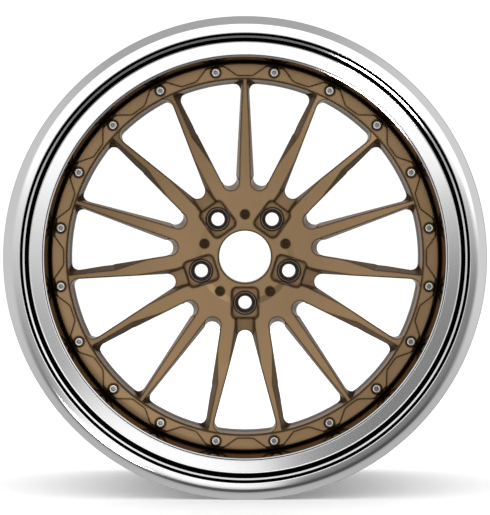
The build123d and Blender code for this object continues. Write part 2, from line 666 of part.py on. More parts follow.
def ring_pocket():
    """A shallow pocket in the ring's front between two bolts, open at the ring's outer edge."""
    inner = BOLT_CIRCLE - RING_POCKET_INSET
    outer = RING_RADIUS - RING_CHAMFER - 1.5
    beyond = RING_RADIUS + 6
    slope = (RING_POCKET_TOP - RING_POCKET_BOTTOM) / (outer - inner)
    far = RING_POCKET_TOP + slope * (beyond - outer)
    half = [(RING_POCKET_BOTTOM, inner), (far, beyond)]
    outline = round_corners(both_sides(half), [RING_POCKET_CORNER, 0, 0, RING_POCKET_CORNER])
    front_y = RING_FRONT_Y - 2
    return cut_back(outline, front_y, 2 + RING_POCKET_DEPTH, 15)


def bolt_sink():
    """The hole and the sink for one assembly bolt through the ring."""
    hole = peg(BOLT_DIAMETER / 2 + BOLT_HOLE_CLEARANCE, RING_FRONT_Y - 1, RING_THICKNESS + 2)
    sink = peg(BOLT_SINK_DIAMETER / 2, RING_FRONT_Y - 1, BOLT_HEAD_HEIGHT + 1)
    return hole + sink


def wheel_centre():
    """The forged centre: blank less windows, facets, lug pockets, ring pockets and holes."""
    cuts = []
    through = window()
    mouth = window_mouth()
    lone = lone_flank()
    pair = pair_flank()
    for lug in LUG_ANGLES:
        for step in range(SPOKES_PER_LUG):
            cuts.append(at_angle(through, lug + step * SPOKE_PITCH))
        lone_angle = lug + 180 / LUG_COUNT
        for side in (1, -1):
            turned_mouth = mouth if side > 0 else mirror(mouth, Plane.YZ)
            turned_lone = lone if side > 0 else mirror(lone, Plane.YZ)
            turned_pair = pair if side > 0 else mirror(pair, Plane.YZ)
            cuts.append(at_angle(turned_mouth, lone_angle + side * SPOKE_PITCH / 2))
            cuts.append(at_angle(turned_lone, lone_angle))
            cuts.append(at_angle(turned_pair, lug + side * SPOKE_PITCH / 2))
        cuts.append(at_angle(valley(), lug))
        cuts.append(at_angle(lug_pocket(), lug))
        cuts.append(at_angle(pin_hole(), lone_angle))
        cuts.append(at_angle(back_pocket(), lone_angle))
    for bolt in BOLT_ANGLES:
        cuts.append(at_angle(bolt_sink(), bolt))
        cuts.append(at_angle(ring_pocket(), bolt + 180 / BOLT_COUNT))
    return centre_blank() - cuts


# ---- Tyre valve, drawn upright on the origin and then set in the barrel ----


def set_valve(solid):
    """The solid in its place: its own base on the spot face inside the barrel."""
    return Pos(0, VALVE_Y, -VALVE_FOOT_RADIUS) * solid


def rod(radius, bottom, top):
    """A plain cylinder on the valve's axis between two heights."""
    return turned([(0, bottom, 0), (radius, bottom, 0), (radius, top, 0), (0, top, 0)], upright=True)


def valve_cuts():
    """The valve hole in the barrel, with a spot face inside and outside."""
    hole = rod(VALVE_HOLE_RADIUS, -RIM_WALL - 2, 2)
    inside = rod(VALVE_SPOT_RADIUS, 0, 3)
    outside = rod(VALVE_SPOT_RADIUS, -WALL_AT_VALVE - 3, -WALL_AT_VALVE)
    return [set_valve(hole), set_valve(inside), set_valve(outside)]


def valve_stem():
    """The metal stem: base, shank and its stepped airway."""
    blank = turned(
        [
            (0, STEM_BASE_TOP - STEM_BASE_THICKNESS, 0),
            (STEM_BASE_RADIUS, STEM_BASE_TOP - STEM_BASE_THICKNESS, 0.8),
            (STEM_BASE_RADIUS, STEM_BASE_TOP, 0),
            (STEM_RADIUS, STEM_BASE_TOP, 0),
            (STEM_RADIUS, STEM_LENGTH, 0.4),
            (0, STEM_LENGTH, 0),
        ],
        upright=True,
    )
    airway = rod(AIRWAY_RADIUS, STEM_BASE_TOP - STEM_BASE_THICKNESS - 1, STEM_LENGTH + 1)
    thread = rod(CORE_HEAD_RADIUS + THREAD_CLEARANCE, CORE_HEAD_BOTTOM, STEM_LENGTH + 1)
    return set_valve(blank - airway - thread)


def valve_grommet():
    """The rubber grommet under the stem's base, with a collar in the hole."""
    bore = STEM_RADIUS + GROMMET_CLEARANCE
    collar = VALVE_HOLE_RADIUS - GROMMET_CLEARANCE
    return set_valve(
        turned(
            [
                (bore, STEM_BASE_TOP, 0),
                (STEM_BASE_RADIUS, STEM_BASE_TOP, 0.8),
                (STEM_BASE_RADIUS, -WALL_AT_VALVE, 0),
                (collar, -WALL_AT_VALVE, 0),
                (collar, -1.0, 0.3),
                (bore, -1.0, 0),
            ],
            upright=True,
        )
    )


def valve_washer():
    """The washer between the barrel's spot face and the valve's nut."""
    bore = STEM_RADIUS + GROMMET_CLEARANCE
    return set_valve(rod(STEM_BASE_RADIUS, 0, VALVE_WASHER_THICKNESS) - rod(bore, -1, 3))


def valve_nut():
    """The hexagon nut that clamps the stem to the barrel."""
    bottom = VALVE_WASHER_THICKNESS
    nut = Pos(0, 0, bottom) * extrude(hexagon(VALVE_NUT_ACROSS_FLATS), VALVE_NUT_HEIGHT)
    bevel = turned(
        [
            (0, bottom, 0),
            (VALVE_NUT_ACROSS_FLATS * 0.56, bottom, 0),
            (VALVE_NUT_ACROSS_FLATS * 0.56, bottom + VALVE_NUT_HEIGHT - 0.6, 0),
            (VALVE_NUT_ACROSS_FLATS * 0.5, bottom + VALVE_NUT_HEIGHT, 0),
            (0, bottom + VALVE_NUT_HEIGHT, 0),
        ],
        upright=True,
    )
    bore = STEM_RADIUS + THREAD_CLEARANCE
    return set_valve((nut & bevel) - rod(bore, 0, bottom + VALVE_NUT_HEIGHT + 1))


def valve_core_body():
    """The core's threaded head and slim body, with the chamber for its spring."""
    body = turned(
        [
            (CORE_NECK_RADIUS, CORE_BOTTOM, 0),
            (CORE_BODY_RADIUS, CORE_BOTTOM, 0),
            (CORE_BODY_RADIUS, CORE_HEAD_BOTTOM, 0),
            (CORE_HEAD_RADIUS, CORE_HEAD_BOTTOM, 0),
            (CORE_HEAD_RADIUS, CORE_TOP, 0.3),
            (CORE_CHAMBER_RADIUS, CORE_TOP, 0),
            (CORE_CHAMBER_RADIUS, CHAMBER_FLOOR, 0),
            (CORE_NECK_RADIUS, CHAMBER_FLOOR, 0),
        ],
        upright=True,
    )
    return set_valve(body)


def valve_core_seal():
    """The ring that seals the core's body in the stem's airway."""
    bottom = CORE_HEAD_BOTTOM - CORE_SEAL_LENGTH
    ring = rod(AIRWAY_RADIUS - 0.01, bottom, CORE_HEAD_BOTTOM) - rod(CORE_BODY_RADIUS + 0.01, 0, STEM_LENGTH)
    return set_valve(ring)


def valve_core_pin():
    """The pin, with the collar that its spring pushes up."""
    pin = rod(PIN_RADIUS, CORE_BOTTOM - PLUNGER_THICKNESS - 0.8, PIN_TOP)
    collar = rod(PIN_COLLAR_RADIUS, COLLAR_BOTTOM, COLLAR_BOTTOM + PIN_COLLAR_THICKNESS)
    foot = rod(
        PLUNGER_RADIUS * 0.7, CORE_BOTTOM - PLUNGER_THICKNESS - 0.8, CORE_BOTTOM - PLUNGER_THICKNESS
    )
    return set_valve(pin + collar + foot)


def valve_plunger_seal():
    """The rubber disc on the pin that closes the core from below."""
    disc = rod(PLUNGER_RADIUS, CORE_BOTTOM - PLUNGER_THICKNESS, CORE_BOTTOM)
    return set_valve(disc - rod(PIN_RADIUS, 0, STEM_LENGTH))


def valve_core_spring():
    """The coil spring between the chamber's floor and the pin's collar."""
    height = COLLAR_BOTTOM - CHAMBER_FLOOR - 2 * SPRING_WIRE_RADIUS
    pitch = height / SPRING_TURNS
    start = CHAMBER_FLOOR + SPRING_WIRE_RADIUS
    path = Pos(0, 0, start) * Helix(pitch, height, SPRING_RADIUS)
    section = Plane(origin=path @ 0, z_dir=path % 0) * Circle(SPRING_WIRE_RADIUS)
    return set_valve(sweep(section, path, is_frenet=True))


def valve_cap_seal():
    """The sealing disc inside the cap, resting on the stem's rim."""
    return set_valve(rod(STEM_RADIUS, STEM_LENGTH, STEM_LENGTH + CAP_SEAL_THICKNESS))


def valve_cap():
    """The screw cap with its grip flutes."""
    top = STEM_LENGTH + CAP_SEAL_THICKNESS + CAP_TOP_THICKNESS
    bottom = STEM_LENGTH - CAP_OVERLAP
    blank = turned(
        [(0, bottom, 0), (CAP_RADIUS, bottom, 0.4), (CAP_RADIUS, top, 1.0), (0, top, 0)], upright=True
    )
    bore = rod(STEM_RADIUS + CAP_CLEARANCE, bottom - 1, STEM_LENGTH + CAP_SEAL_THICKNESS)
    flute = Pos(CAP_RADIUS + CAP_GRIP_RADIUS * 0.4, 0, bottom - 1) * extrude(
        Circle(CAP_GRIP_RADIUS), CAP_OVERLAP + 1
    )
    flutes = [Rot(0, 0, 360 / CAP_GRIPS * k) * flute for k in range(CAP_GRIPS)]
    return set_valve(blank - bore - flutes)


# ---- All the pieces ----


def pieces():
    """Every node's name and solid."""
    nodes = {
        "wheel_centre": wheel_centre(),
        "outer_rim_half": outer_rim_half(),
        "inner_rim_half": inner_rim_half(),
        "rim_seal": rim_seal(),
        "assembly_bolts": assembly_bolts(),
        "assembly_washers": assembly_washers(),
        "assembly_nuts": assembly_nuts(),
        "valve_stem": valve_stem(),
        "valve_grommet": valve_grommet(),
        "valve_washer": valve_washer(),
        "valve_nut": valve_nut(),
        "valve_core_body": valve_core_body(),
        "valve_core_seal": valve_core_seal(),
        "valve_core_pin": valve_core_pin(),
        "valve_plunger_seal": valve_plunger_seal(),
        "valve_core_spring": valve_core_spring(),
        "valve_cap_seal": valve_cap_seal(),
        "valve_cap": valve_cap(),
    }
    for number, angle in enumerate(LUG_ANGLES, start=1):
        nodes[f"lug_seat_{number}"] = lug_seat(angle)
    return nodes


os.makedirs("parts", exist_ok=True)
for name, solid in pieces().items():
    export_step(solid, f"parts/{name}.step")
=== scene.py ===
import logging
import math
from abc import ABC, abstractmethod
from dataclasses import dataclass, field
from enum import Enum

import bpy
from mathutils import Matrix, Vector

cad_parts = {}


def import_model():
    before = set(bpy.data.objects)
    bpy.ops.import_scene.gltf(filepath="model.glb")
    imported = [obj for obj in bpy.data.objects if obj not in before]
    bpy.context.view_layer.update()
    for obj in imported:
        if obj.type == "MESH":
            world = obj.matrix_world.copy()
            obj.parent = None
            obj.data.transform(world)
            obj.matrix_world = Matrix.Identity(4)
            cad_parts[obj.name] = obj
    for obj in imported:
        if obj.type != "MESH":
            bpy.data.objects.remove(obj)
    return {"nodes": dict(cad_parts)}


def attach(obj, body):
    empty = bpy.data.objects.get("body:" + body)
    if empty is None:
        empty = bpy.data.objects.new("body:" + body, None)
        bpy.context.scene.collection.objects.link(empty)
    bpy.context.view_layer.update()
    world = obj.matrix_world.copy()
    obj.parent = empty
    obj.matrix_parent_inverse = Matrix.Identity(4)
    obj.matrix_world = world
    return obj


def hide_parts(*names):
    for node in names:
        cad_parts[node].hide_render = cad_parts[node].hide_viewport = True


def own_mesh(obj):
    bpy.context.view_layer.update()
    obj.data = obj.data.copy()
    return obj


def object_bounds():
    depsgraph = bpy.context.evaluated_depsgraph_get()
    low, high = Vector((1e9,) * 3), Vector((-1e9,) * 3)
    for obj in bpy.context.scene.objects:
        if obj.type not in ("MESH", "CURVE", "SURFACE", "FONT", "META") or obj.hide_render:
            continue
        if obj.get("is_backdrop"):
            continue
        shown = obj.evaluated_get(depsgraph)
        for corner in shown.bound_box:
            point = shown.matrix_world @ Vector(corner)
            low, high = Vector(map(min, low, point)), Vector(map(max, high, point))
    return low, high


# Looks for a forged racing wheel rim. Lengths in the classes are millimetres, as on a drawing;
# MM turns them into the scene's metres. The wheel spins about Y and its street face looks to -Y.

MM = 0.001
SPIN_AXIS = (0.0, 1.0, 0.0)
Flat = tuple[bpy.types.NodeSocket, bpy.types.NodeSocket]  # a direction's parts across and upward
LOG = logging.getLogger("wheel_rim")


# ---- Shared helpers for bpy.ops modelling ----


class Drive(Enum):
    """How many flats or flutes a fastener shows."""

    HEXAGON = 6
    ROUND = 48


@dataclass(frozen=True)
class Corner:
    """One corner of a turned profile, in millimetres.

    Args:
        radius: distance from the axis.
        along: place along the axis.
        rounding: fillet radius at the corner, 0 for a sharp one.
    """

    radius: float
    along: float
    rounding: float = 0.0


def deselect_everything() -> None:
    """Leave object mode with nothing selected."""
    if bpy.context.mode != "OBJECT":
        bpy.ops.object.mode_set(mode="OBJECT")
    bpy.ops.object.select_all(action="DESELECT")


def select_only(piece: bpy.types.Object) -> None:
    """Make one object selected and active."""
    deselect_everything()
    piece.select_set(True)
    bpy.context.view_layer.objects.active = piece


def settle(piece: bpy.types.Object) -> None:
    """Put the object's place, turn and size into its mesh."""
    select_only(piece)
    bpy.ops.object.transform_apply(location=True, rotation=True, scale=True)


def smooth(piece: bpy.types.Object, degrees: float = 32.0) -> None:
    """Shade the piece smooth, with edges sharper than the angle kept crisp."""
    select_only(piece)
    bpy.ops.object.shade_smooth_by_angle(angle=math.radians(degrees))


def rounded_profile(corners: list[Corner], arc_step: float = 7.5) -> list[tuple[float, float]]:
    """Work out the points of a closed profile with its corners rounded.

    Args:
        corners: the profile's corners in order.
        arc_step: degrees of turn between points on a rounding.

    Returns:
        The points as (radius, along) pairs in millimetres.
    """
    points: list[tuple[float, float]] = []
    count = len(corners)
    for index, corner in enumerate(corners):
        here = Vector((corner.radius, corner.along))
        before = Vector((corners[index - 1].radius, corners[index - 1].along)) - here
        after_corner = corners[(index + 1) % count]
        after = Vector((after_corner.radius, after_corner.along)) - here
        turn = math.pi - before.angle(after)
        if corner.rounding <= 0 or turn < math.radians(0.5):
            points.append((here.x, here.y))
            continue
        reach = corner.rounding * math.tan(turn / 2)
        start = here + before.normalized() * reach
        towards = (before.normalized() + after.normalized()).normalized()
        centre = here + towards * (corner.rounding / math.cos(turn / 2))
        steps = max(2, round(math.degrees(turn) / arc_step))
        spoke = start - centre
        way = 1.0 if before.x * after.y - before.y * after.x > 0 else -1.0
        for k in range(steps + 1):
            angle = -way * turn * k / steps
            cos_a, sin_a = math.cos(angle), math.sin(angle)
            points.append(
                (
                    centre.x + spoke.x * cos_a - spoke.y * sin_a,
                    centre.y + spoke.x * sin_a + spoke.y * cos_a,
                )
            )
    return points


def spin_profile(
    name: str, corners: list[Corner], steps: int, arc_step: float = 7.5
) -> bpy.types.Object:
    """Model a turned piece: draw its profile by extruding one vertex, then spin it round.

    Args:
        name: the new object's name.
        corners: the closed profile's corners.
        steps: how many steps the spin makes in a full turn.
        arc_step: degrees between points on a rounding.

    Returns:
        The new mesh object, at the origin.
    """
    points = rounded_profile(corners, arc_step)
    places = [Vector((0.0, along, radius)) * MM for radius, along in points]
    deselect_everything()
    bpy.ops.mesh.primitive_plane_add(size=0.001, location=(0, 0, 0))
    piece = bpy.context.object
    piece.name = name
    piece.data.name = name
    bpy.ops.object.mode_set(mode="EDIT")
    bpy.ops.mesh.select_all(action="SELECT")
    bpy.ops.mesh.merge(type="CENTER")
    bpy.ops.transform.translate(value=places[0])
    for start, end in zip(places, places[1:] + places[:1]):
        bpy.ops.mesh.extrude_vertices_move(TRANSFORM_OT_translate={"value": end - start})
    bpy.ops.mesh.select_all(action="SELECT")
    bpy.ops.mesh.remove_doubles(threshold=1e-6)
    bpy.ops.mesh.select_all(action="SELECT")
    bpy.ops.mesh.spin(steps=steps, angle=2 * math.pi, center=(0, 0, 0), axis=SPIN_AXIS)
    bpy.ops.mesh.select_all(action="SELECT")
    bpy.ops.mesh.remove_doubles(threshold=1e-6)
    bpy.ops.mesh.normals_make_consistent(inside=False)
    bpy.ops.object.mode_set(mode="OBJECT")
    smooth(piece)
    return piece


def rod(name: str, radius: float, front: float, back: float, sides: int = 48) -> bpy.types.Object:
    """Add a prism or round bar along the wheel's axis, centred on that axis.

    Args:
        name: the new object's name.
        radius: distance of its corners from the axis, in millimetres.
        front: its front end along Y.
        back: its back end along Y.
        sides: how many sides it has.

    Returns:
        The new mesh object, at the origin.
    """
    deselect_everything()
    bpy.ops.mesh.primitive_cylinder_add(
        vertices=sides,
        radius=radius * MM,
        depth=(back - front) * MM,
        location=(0, (front + back) / 2 * MM, 0),
        rotation=(math.pi / 2, 0, 0),
    )
    piece = bpy.context.object
    piece.name = name
    piece.data.name = name
    settle(piece)
    return piece


def carve(piece: bpy.types.Object, cutter: bpy.types.Object) -> None:
    """Cut one piece with another and throw the cutter away."""
    select_only(piece)
    knife = piece.modifiers.new("carve", "BOOLEAN")
    knife.operation = "DIFFERENCE"
    knife.solver = "EXACT"
    knife.object = cutter
    bpy.ops.object.modifier_apply(modifier=knife.name)
    select_only(cutter)
    bpy.ops.object.delete()


def soften_edges(piece: bpy.types.Object, width: float, angle: float = 35.0) -> None:
    """Round a piece's sharp edges with an applied bevel, width in millimetres."""
    select_only(piece)
    bevel = piece.modifiers.new("soften", "BEVEL")
    bevel.width = width * MM
    bevel.segments = 2
    bevel.limit_method = "ANGLE"
    bevel.angle_limit = math.radians(angle)
    bpy.ops.object.modifier_apply(modifier=bevel.name)


def shift(piece: bpy.types.Object, offset: Vector) -> None:
    """Move a piece's mesh by an offset in metres."""
    select_only(piece)
    piece.location = offset
    settle(piece)


def wind_coil(
    name: str, radius: float, wire_radius: float, turns: int, pitch: float
) -> bpy.types.Object:
    """Wind a coil spring upwards round Z from a circle of wire, its sizes in millimetres.

    Args:
        name: the new object's name.
        radius: from the coil's axis to the middle of the wire.
        wire_radius: half the wire's thickness.
        turns: how many whole turns it has.
        pitch: the rise of one turn.

    Returns:
        The new mesh object, its first turn starting at height 0.
    """
    deselect_everything()
    bpy.ops.mesh.primitive_circle_add(
        vertices=12,
        radius=wire_radius * MM,
        location=(radius * MM, 0, 0),
        rotation=(math.radians(90), 0, 0),
    )
    coil = bpy.context.object
    coil.name = name
    coil.data.name = name
    settle(coil)
    winding = coil.modifiers.new("winding", "SCREW")
    winding.axis = "Z"
    winding.screw_offset = pitch * MM
    winding.iterations = turns
    winding.steps = 28
    winding.render_steps = 28
    bpy.ops.object.modifier_apply(modifier=winding.name)
    bpy.ops.object.mode_set(mode="EDIT")
    bpy.ops.mesh.select_all(action="SELECT")
    bpy.ops.mesh.fill_holes(sides=0)
    bpy.ops.mesh.select_all(action="SELECT")
    bpy.ops.mesh.normals_make_consistent(inside=False)
    bpy.ops.object.mode_set(mode="OBJECT")
    smooth(coil)
    return coil


def copies_round_wheel(
    first: bpy.types.Object, stem: str, angles: list[float]
) -> list[bpy.types.Object]:
    """Turn a piece drawn at the top of the wheel to each angle, each copy with its own mesh.

    Args:
        first: the piece at the top; it becomes the first copy.
        stem: the copies' names without their numbers.
        angles: degrees clockwise from the top, as seen from the street.

    Returns:
        The copies in order.
    """
    made = []
    for number, angle in enumerate(angles, start=1):
        if number < len(angles):
            select_only(first)
            bpy.ops.object.duplicate(linked=False)
            piece = bpy.context.object
        else:
            piece = first
        piece.rotation_euler = (0.0, math.radians(angle), 0.0)
        piece.name = f"{stem}_{number:02d}"
        piece.data.name = piece.name
        settle(piece)
        made.append(piece)
    return made


def assign(pieces: list[bpy.types.Object], material: bpy.types.Material) -> None:
    """Give every piece one material in a single slot."""
    for piece in pieces:
        piece.data.materials.clear()
        piece.data.materials.append(material)


# ---- Shader node groups that several finishes share ----


def _new_group(name: str) -> bpy.types.NodeTree:
    """Start an empty shader node group."""
    return bpy.data.node_groups.new(name, "ShaderNodeTree")


def _socket(
    group: bpy.types.NodeTree, name: str, way: str, kind: str, default: object = None
) -> None:
    """Add one named socket to a group's outside."""
    made = group.interface.new_socket(name=name, in_out=way, socket_type=kind)
    if default is not None:
        made.default_value = default


class SharedGroups:
    """The node groups for grain and edges, each built once and placed in many materials."""

    def __init__(self) -> None:
        self.grain = self._build_grain()
        self.edges = self._build_edges()
        self.lathe = self._build_lathe()

    def _build_grain(self) -> bpy.types.NodeTree:
        """Build the fine grain of a blasted, cast or moulded surface.

        Returns:
            A group with a height, and a slow mottling mask, both from Object coordinates.
        """
        group = _new_group("fine_grain")
        _socket(group, "Grain Scale", "INPUT", "NodeSocketFloat", 1800.0)
        _socket(group, "Mottle Scale", "INPUT", "NodeSocketFloat", 14.0)
        _socket(group, "Height", "OUTPUT", "NodeSocketFloat")
        _socket(group, "Mottle", "OUTPUT", "NodeSocketFloat")
        nodes, links = group.nodes, group.links
        inside = nodes.new("NodeGroupInput")
        outside = nodes.new("NodeGroupOutput")
        place = nodes.new("ShaderNodeTexCoord")
        grain = nodes.new("ShaderNodeTexNoise")
        grain.inputs["Detail"].default_value = 3.0
        mottle = nodes.new("ShaderNodeTexNoise")
        mottle.inputs["Detail"].default_value = 4.0
        mottle.inputs["Roughness"].default_value = 0.55
        links.new(place.outputs["Object"], grain.inputs["Vector"])
        links.new(place.outputs["Object"], mottle.inputs["Vector"])
        links.new(inside.outputs["Grain Scale"], grain.inputs["Scale"])
        links.new(inside.outputs["Mottle Scale"], mottle.inputs["Scale"])
        links.new(grain.outputs["Fac"], outside.inputs["Height"])
        links.new(mottle.outputs["Fac"], outside.inputs["Mottle"])
        return group

    def _build_edges(self) -> bpy.types.NodeTree:
        """Build the masks of outer edges and of sheltered corners: the metal finishes paint shade with
        them, the moulded ones lay dust.

        Returns:
            A group with an edge mask and a mask of sheltered corners, from nearby surfaces.
        """
        group = _new_group("edges_and_corners")
        _socket(group, "Edge Reach", "INPUT", "NodeSocketFloat", 0.0012)
        _socket(group, "Corner Reach", "INPUT", "NodeSocketFloat", 0.02)
        _socket(group, "Edge", "OUTPUT", "NodeSocketFloat")
        _socket(group, "Shelter", "OUTPUT", "NodeSocketFloat")
        nodes, links = group.nodes, group.links
        inside = nodes.new("NodeGroupInput")
        outside = nodes.new("NodeGroupOutput")
        outer = nodes.new("ShaderNodeAmbientOcclusion")
        outer.inside = True
        outer.only_local = True
        outer.samples = 8
        corner = nodes.new("ShaderNodeAmbientOcclusion")
        corner.samples = 6
        edge_range = nodes.new("ShaderNodeMapRange")
        edge_range.inputs["From Min"].default_value = 0.95
        edge_range.inputs["From Max"].default_value = 0.68
        shelter_range = nodes.new("ShaderNodeMapRange")
        shelter_range.inputs["From Min"].default_value = 0.95
        shelter_range.inputs["From Max"].default_value = 0.25
        links.new(inside.outputs["Edge Reach"], outer.inputs["Distance"])
        links.new(inside.outputs["Corner Reach"], corner.inputs["Distance"])
        links.new(outer.outputs["AO"], edge_range.inputs["Value"])
        links.new(corner.outputs["AO"], shelter_range.inputs["Value"])
        links.new(edge_range.outputs["Result"], outside.inputs["Edge"])
        links.new(shelter_range.outputs["Result"], outside.inputs["Shelter"])
        return group

    def _build_lathe(self) -> bpy.types.NodeTree:
        """Build the fine turning lines that a lathe leaves round the wheel's axis.

        Returns:
            A group with a height that changes only with radius and place along the axis.
        """
        group = _new_group("turning_lines")
        _socket(group, "Lines Scale", "INPUT", "NodeSocketFloat", 900.0)
        _socket(group, "Height", "OUTPUT", "NodeSocketFloat")
        nodes, links = group.nodes, group.links
        inside = nodes.new("NodeGroupInput")
        outside = nodes.new("NodeGroupOutput")
        place = nodes.new("ShaderNodeTexCoord")
        parts = nodes.new("ShaderNodeSeparateXYZ")
        flat = nodes.new("ShaderNodeCombineXYZ")
        reach = nodes.new("ShaderNodeVectorMath")
        reach.operation = "LENGTH"
        both = nodes.new("ShaderNodeCombineXYZ")
        lines = nodes.new("ShaderNodeTexNoise")
        lines.inputs["Detail"].default_value = 2.0
        links.new(place.outputs["Object"], parts.inputs["Vector"])
        links.new(parts.outputs["X"], flat.inputs["X"])
        links.new(parts.outputs["Z"], flat.inputs["Y"])
        links.new(flat.outputs["Vector"], reach.inputs[0])
        links.new(reach.outputs["Value"], both.inputs["X"])
        links.new(parts.outputs["Y"], both.inputs["Y"])
        links.new(both.outputs["Vector"], lines.inputs["Vector"])
        links.new(inside.outputs["Lines Scale"], lines.inputs["Scale"])
        links.new(lines.outputs["Fac"], outside.inputs["Height"])
        return group


# ---- Finishes ----


Colour = tuple[float, float, float, float]


def _place_group(material: bpy.types.Material, group: bpy.types.NodeTree) -> bpy.types.Node:
    """Place a shared group in a material."""
    node = material.node_tree.nodes.new("ShaderNodeGroup")
    node.node_tree = group
    return node


def _mix(
    material: bpy.types.Material,
    fac: bpy.types.NodeSocket,
    low: bpy.types.NodeSocket | Colour,
    high: bpy.types.NodeSocket | Colour,
) -> bpy.types.NodeSocket:
    """Mix two colours by a mask inside a material.

    Args:
        material: the material that gets the node.
        fac: the mask, 0 for low and 1 for high.
        low: a colour or a colour socket.
        high: a colour or a colour socket.

    Returns:
        The mixed colour's socket.
    """
    node = material.node_tree.nodes.new("ShaderNodeMix")
    node.data_type = "RGBA"
    material.node_tree.links.new(fac, node.inputs["Factor"])
    for socket, value in ((node.inputs["A"], low), (node.inputs["B"], high)):
        if isinstance(value, bpy.types.NodeSocket):
            material.node_tree.links.new(value, socket)
        else:
            socket.default_value = value
    return node.outputs["Result"]


def _scaled(
    material: bpy.types.Material, value: bpy.types.NodeSocket, low: float, high: float
) -> bpy.types.NodeSocket:
    """Map a 0 to 1 mask onto a range inside a material.

    Args:
        material: the material that gets the node.
        value: the mask.
        low: the result where the mask is 0.
        high: the result where the mask is 1.

    Returns:
        The mapped value's socket.
    """
    node = material.node_tree.nodes.new("ShaderNodeMapRange")
    node.inputs["To Min"].default_value = low
    node.inputs["To Max"].default_value = high
    material.node_tree.links.new(value, node.inputs["Value"])
    return node.outputs["Result"]


@dataclass(frozen=True)
class Finish(ABC):
    """A surface finish that can build its material."""

    name: str
    groups: SharedGroups

    def build(self) -> bpy.types.Material:
        """Build the material.

        Returns:
            The new material with its nodes set.
        """
        material = bpy.data.materials.new(self.name)
        material.use_nodes = True
        shader = material.node_tree.nodes["Principled BSDF"]
        self.fill(material, shader)
        return material

    @abstractmethod
    def fill(self, material: bpy.types.Material, shader: bpy.types.Node) -> None:
        """Set the shader's values and wire its nodes."""


@dataclass(frozen=True)
class SatinBronze(Finish):
    """Satin anodised forging: warm metal, fine blast grain, and painted shade: dark lines along its
    edges and darkening in its corners and holes.
    """

    base: Colour = (0.290, 0.187, 0.098, 1.0)
    deep: Colour = (0.262, 0.170, 0.088, 1.0)
    # edge is the near-black colour of the painted shade, both along edges and in corners.
    edge: Colour = (0.030, 0.016, 0.007, 1.0)
    roughness: float = 0.38
    # How far from an edge the painted edge shade reaches, in millimetres.
    painted_edge_shade_reach: float = 2.6

    def fill(self, material: bpy.types.Material, shader: bpy.types.Node) -> None:
        """Wire mottled bronze with painted shade darkening its edges and corners."""
        links = material.node_tree.links
        grain = _place_group(material, self.groups.grain)
        edges = _place_group(material, self.groups.edges)
        edges.inputs["Edge Reach"].default_value = self.painted_edge_shade_reach * MM
        edges.inputs["Corner Reach"].default_value = 8 * MM
        body = _mix(material, grain.outputs["Mottle"], self.base, self.deep)
        # Painted shade: the edge mask draws dark lines along edges, and the corner mask darkens
        # recesses and holes.
        body_with_painted_edge_shade = _mix(material, edges.outputs["Edge"], body, self.edge)
        shade = _scaled(material, edges.outputs["Shelter"], 0.0, 0.45)
        links.new(_mix(material, shade, body_with_painted_edge_shade, self.edge), shader.inputs["Base Color"])
        rough = _scaled(material, grain.outputs["Mottle"], self.roughness - 0.04, self.roughness + 0.06)
        links.new(rough, shader.inputs["Roughness"])
        shader.inputs["Metallic"].default_value = 0.9
        rounded = material.node_tree.nodes.new("ShaderNodeBevel")
        rounded.inputs["Radius"].default_value = 0.9 * MM
        rounded.samples = 6
        bump = material.node_tree.nodes.new("ShaderNodeBump")
        bump.inputs["Strength"].default_value = 0.05
        bump.inputs["Distance"].default_value = 0.0004
        links.new(grain.outputs["Height"], bump.inputs["Height"])
        links.new(rounded.outputs["Normal"], bump.inputs["Normal"])
        links.new(bump.outputs["Normal"], shader.inputs["Normal"])


@dataclass(frozen=True)
class TurnedMetal(Finish):
    """Bare or plated metal with lathe lines: mirror polished when its roughness is low."""

    base: Colour = (0.93, 0.93, 0.935, 1.0)
    worn: Colour = (0.88, 0.88, 0.89, 1.0)
    # corner is the colour that the painted shade in sheltered corners leans to.
    corner: Colour = (0.30, 0.29, 0.28, 1.0)
    roughness: float = 0.07
    lines: float = 0.01
    lines_scale: float = 900.0
    metallic: float = 1.0
    # The strength and the reach, in millimetres, of that painted shade in corners.
    painted_shade_strength: float = 0.0
    painted_shade_reach: float = 6.0
    grazing: Colour = (1.0, 1.0, 1.0, 1.0)

    def fill(self, material: bpy.types.Material, shader: bpy.types.Node) -> None:
        """Wire turning lines, faint variation and painted shade that darkens sheltered corners."""
        links = material.node_tree.links
        grain = _place_group(material, self.groups.grain)
        edges = _place_group(material, self.groups.edges)
        lathe = _place_group(material, self.groups.lathe)
        lathe.inputs["Lines Scale"].default_value = self.lines_scale
        edges.inputs["Corner Reach"].default_value = self.painted_shade_reach * MM
        body = _mix(material, grain.outputs["Mottle"], self.base, self.worn)
        # Painted shade: sheltered corners lean to the corner colour.
        shade = _scaled(material, edges.outputs["Shelter"], 0.0, self.painted_shade_strength)
        links.new(_mix(material, shade, body, self.corner), shader.inputs["Base Color"])
        rough = _scaled(
            material, grain.outputs["Mottle"], self.roughness * 0.8, self.roughness * 1.25
        )
        links.new(rough, shader.inputs["Roughness"])
        shader.inputs["Metallic"].default_value = self.metallic
        shader.inputs["Specular Tint"].default_value = self.grazing
        bump = material.node_tree.nodes.new("ShaderNodeBump")
        bump.inputs["Strength"].default_value = self.lines
        bump.inputs["Distance"].default_value = 0.0002
        links.new(lathe.outputs["Height"], bump.inputs["Height"])
        links.new(bump.outputs["Normal"], shader.inputs["Normal"])


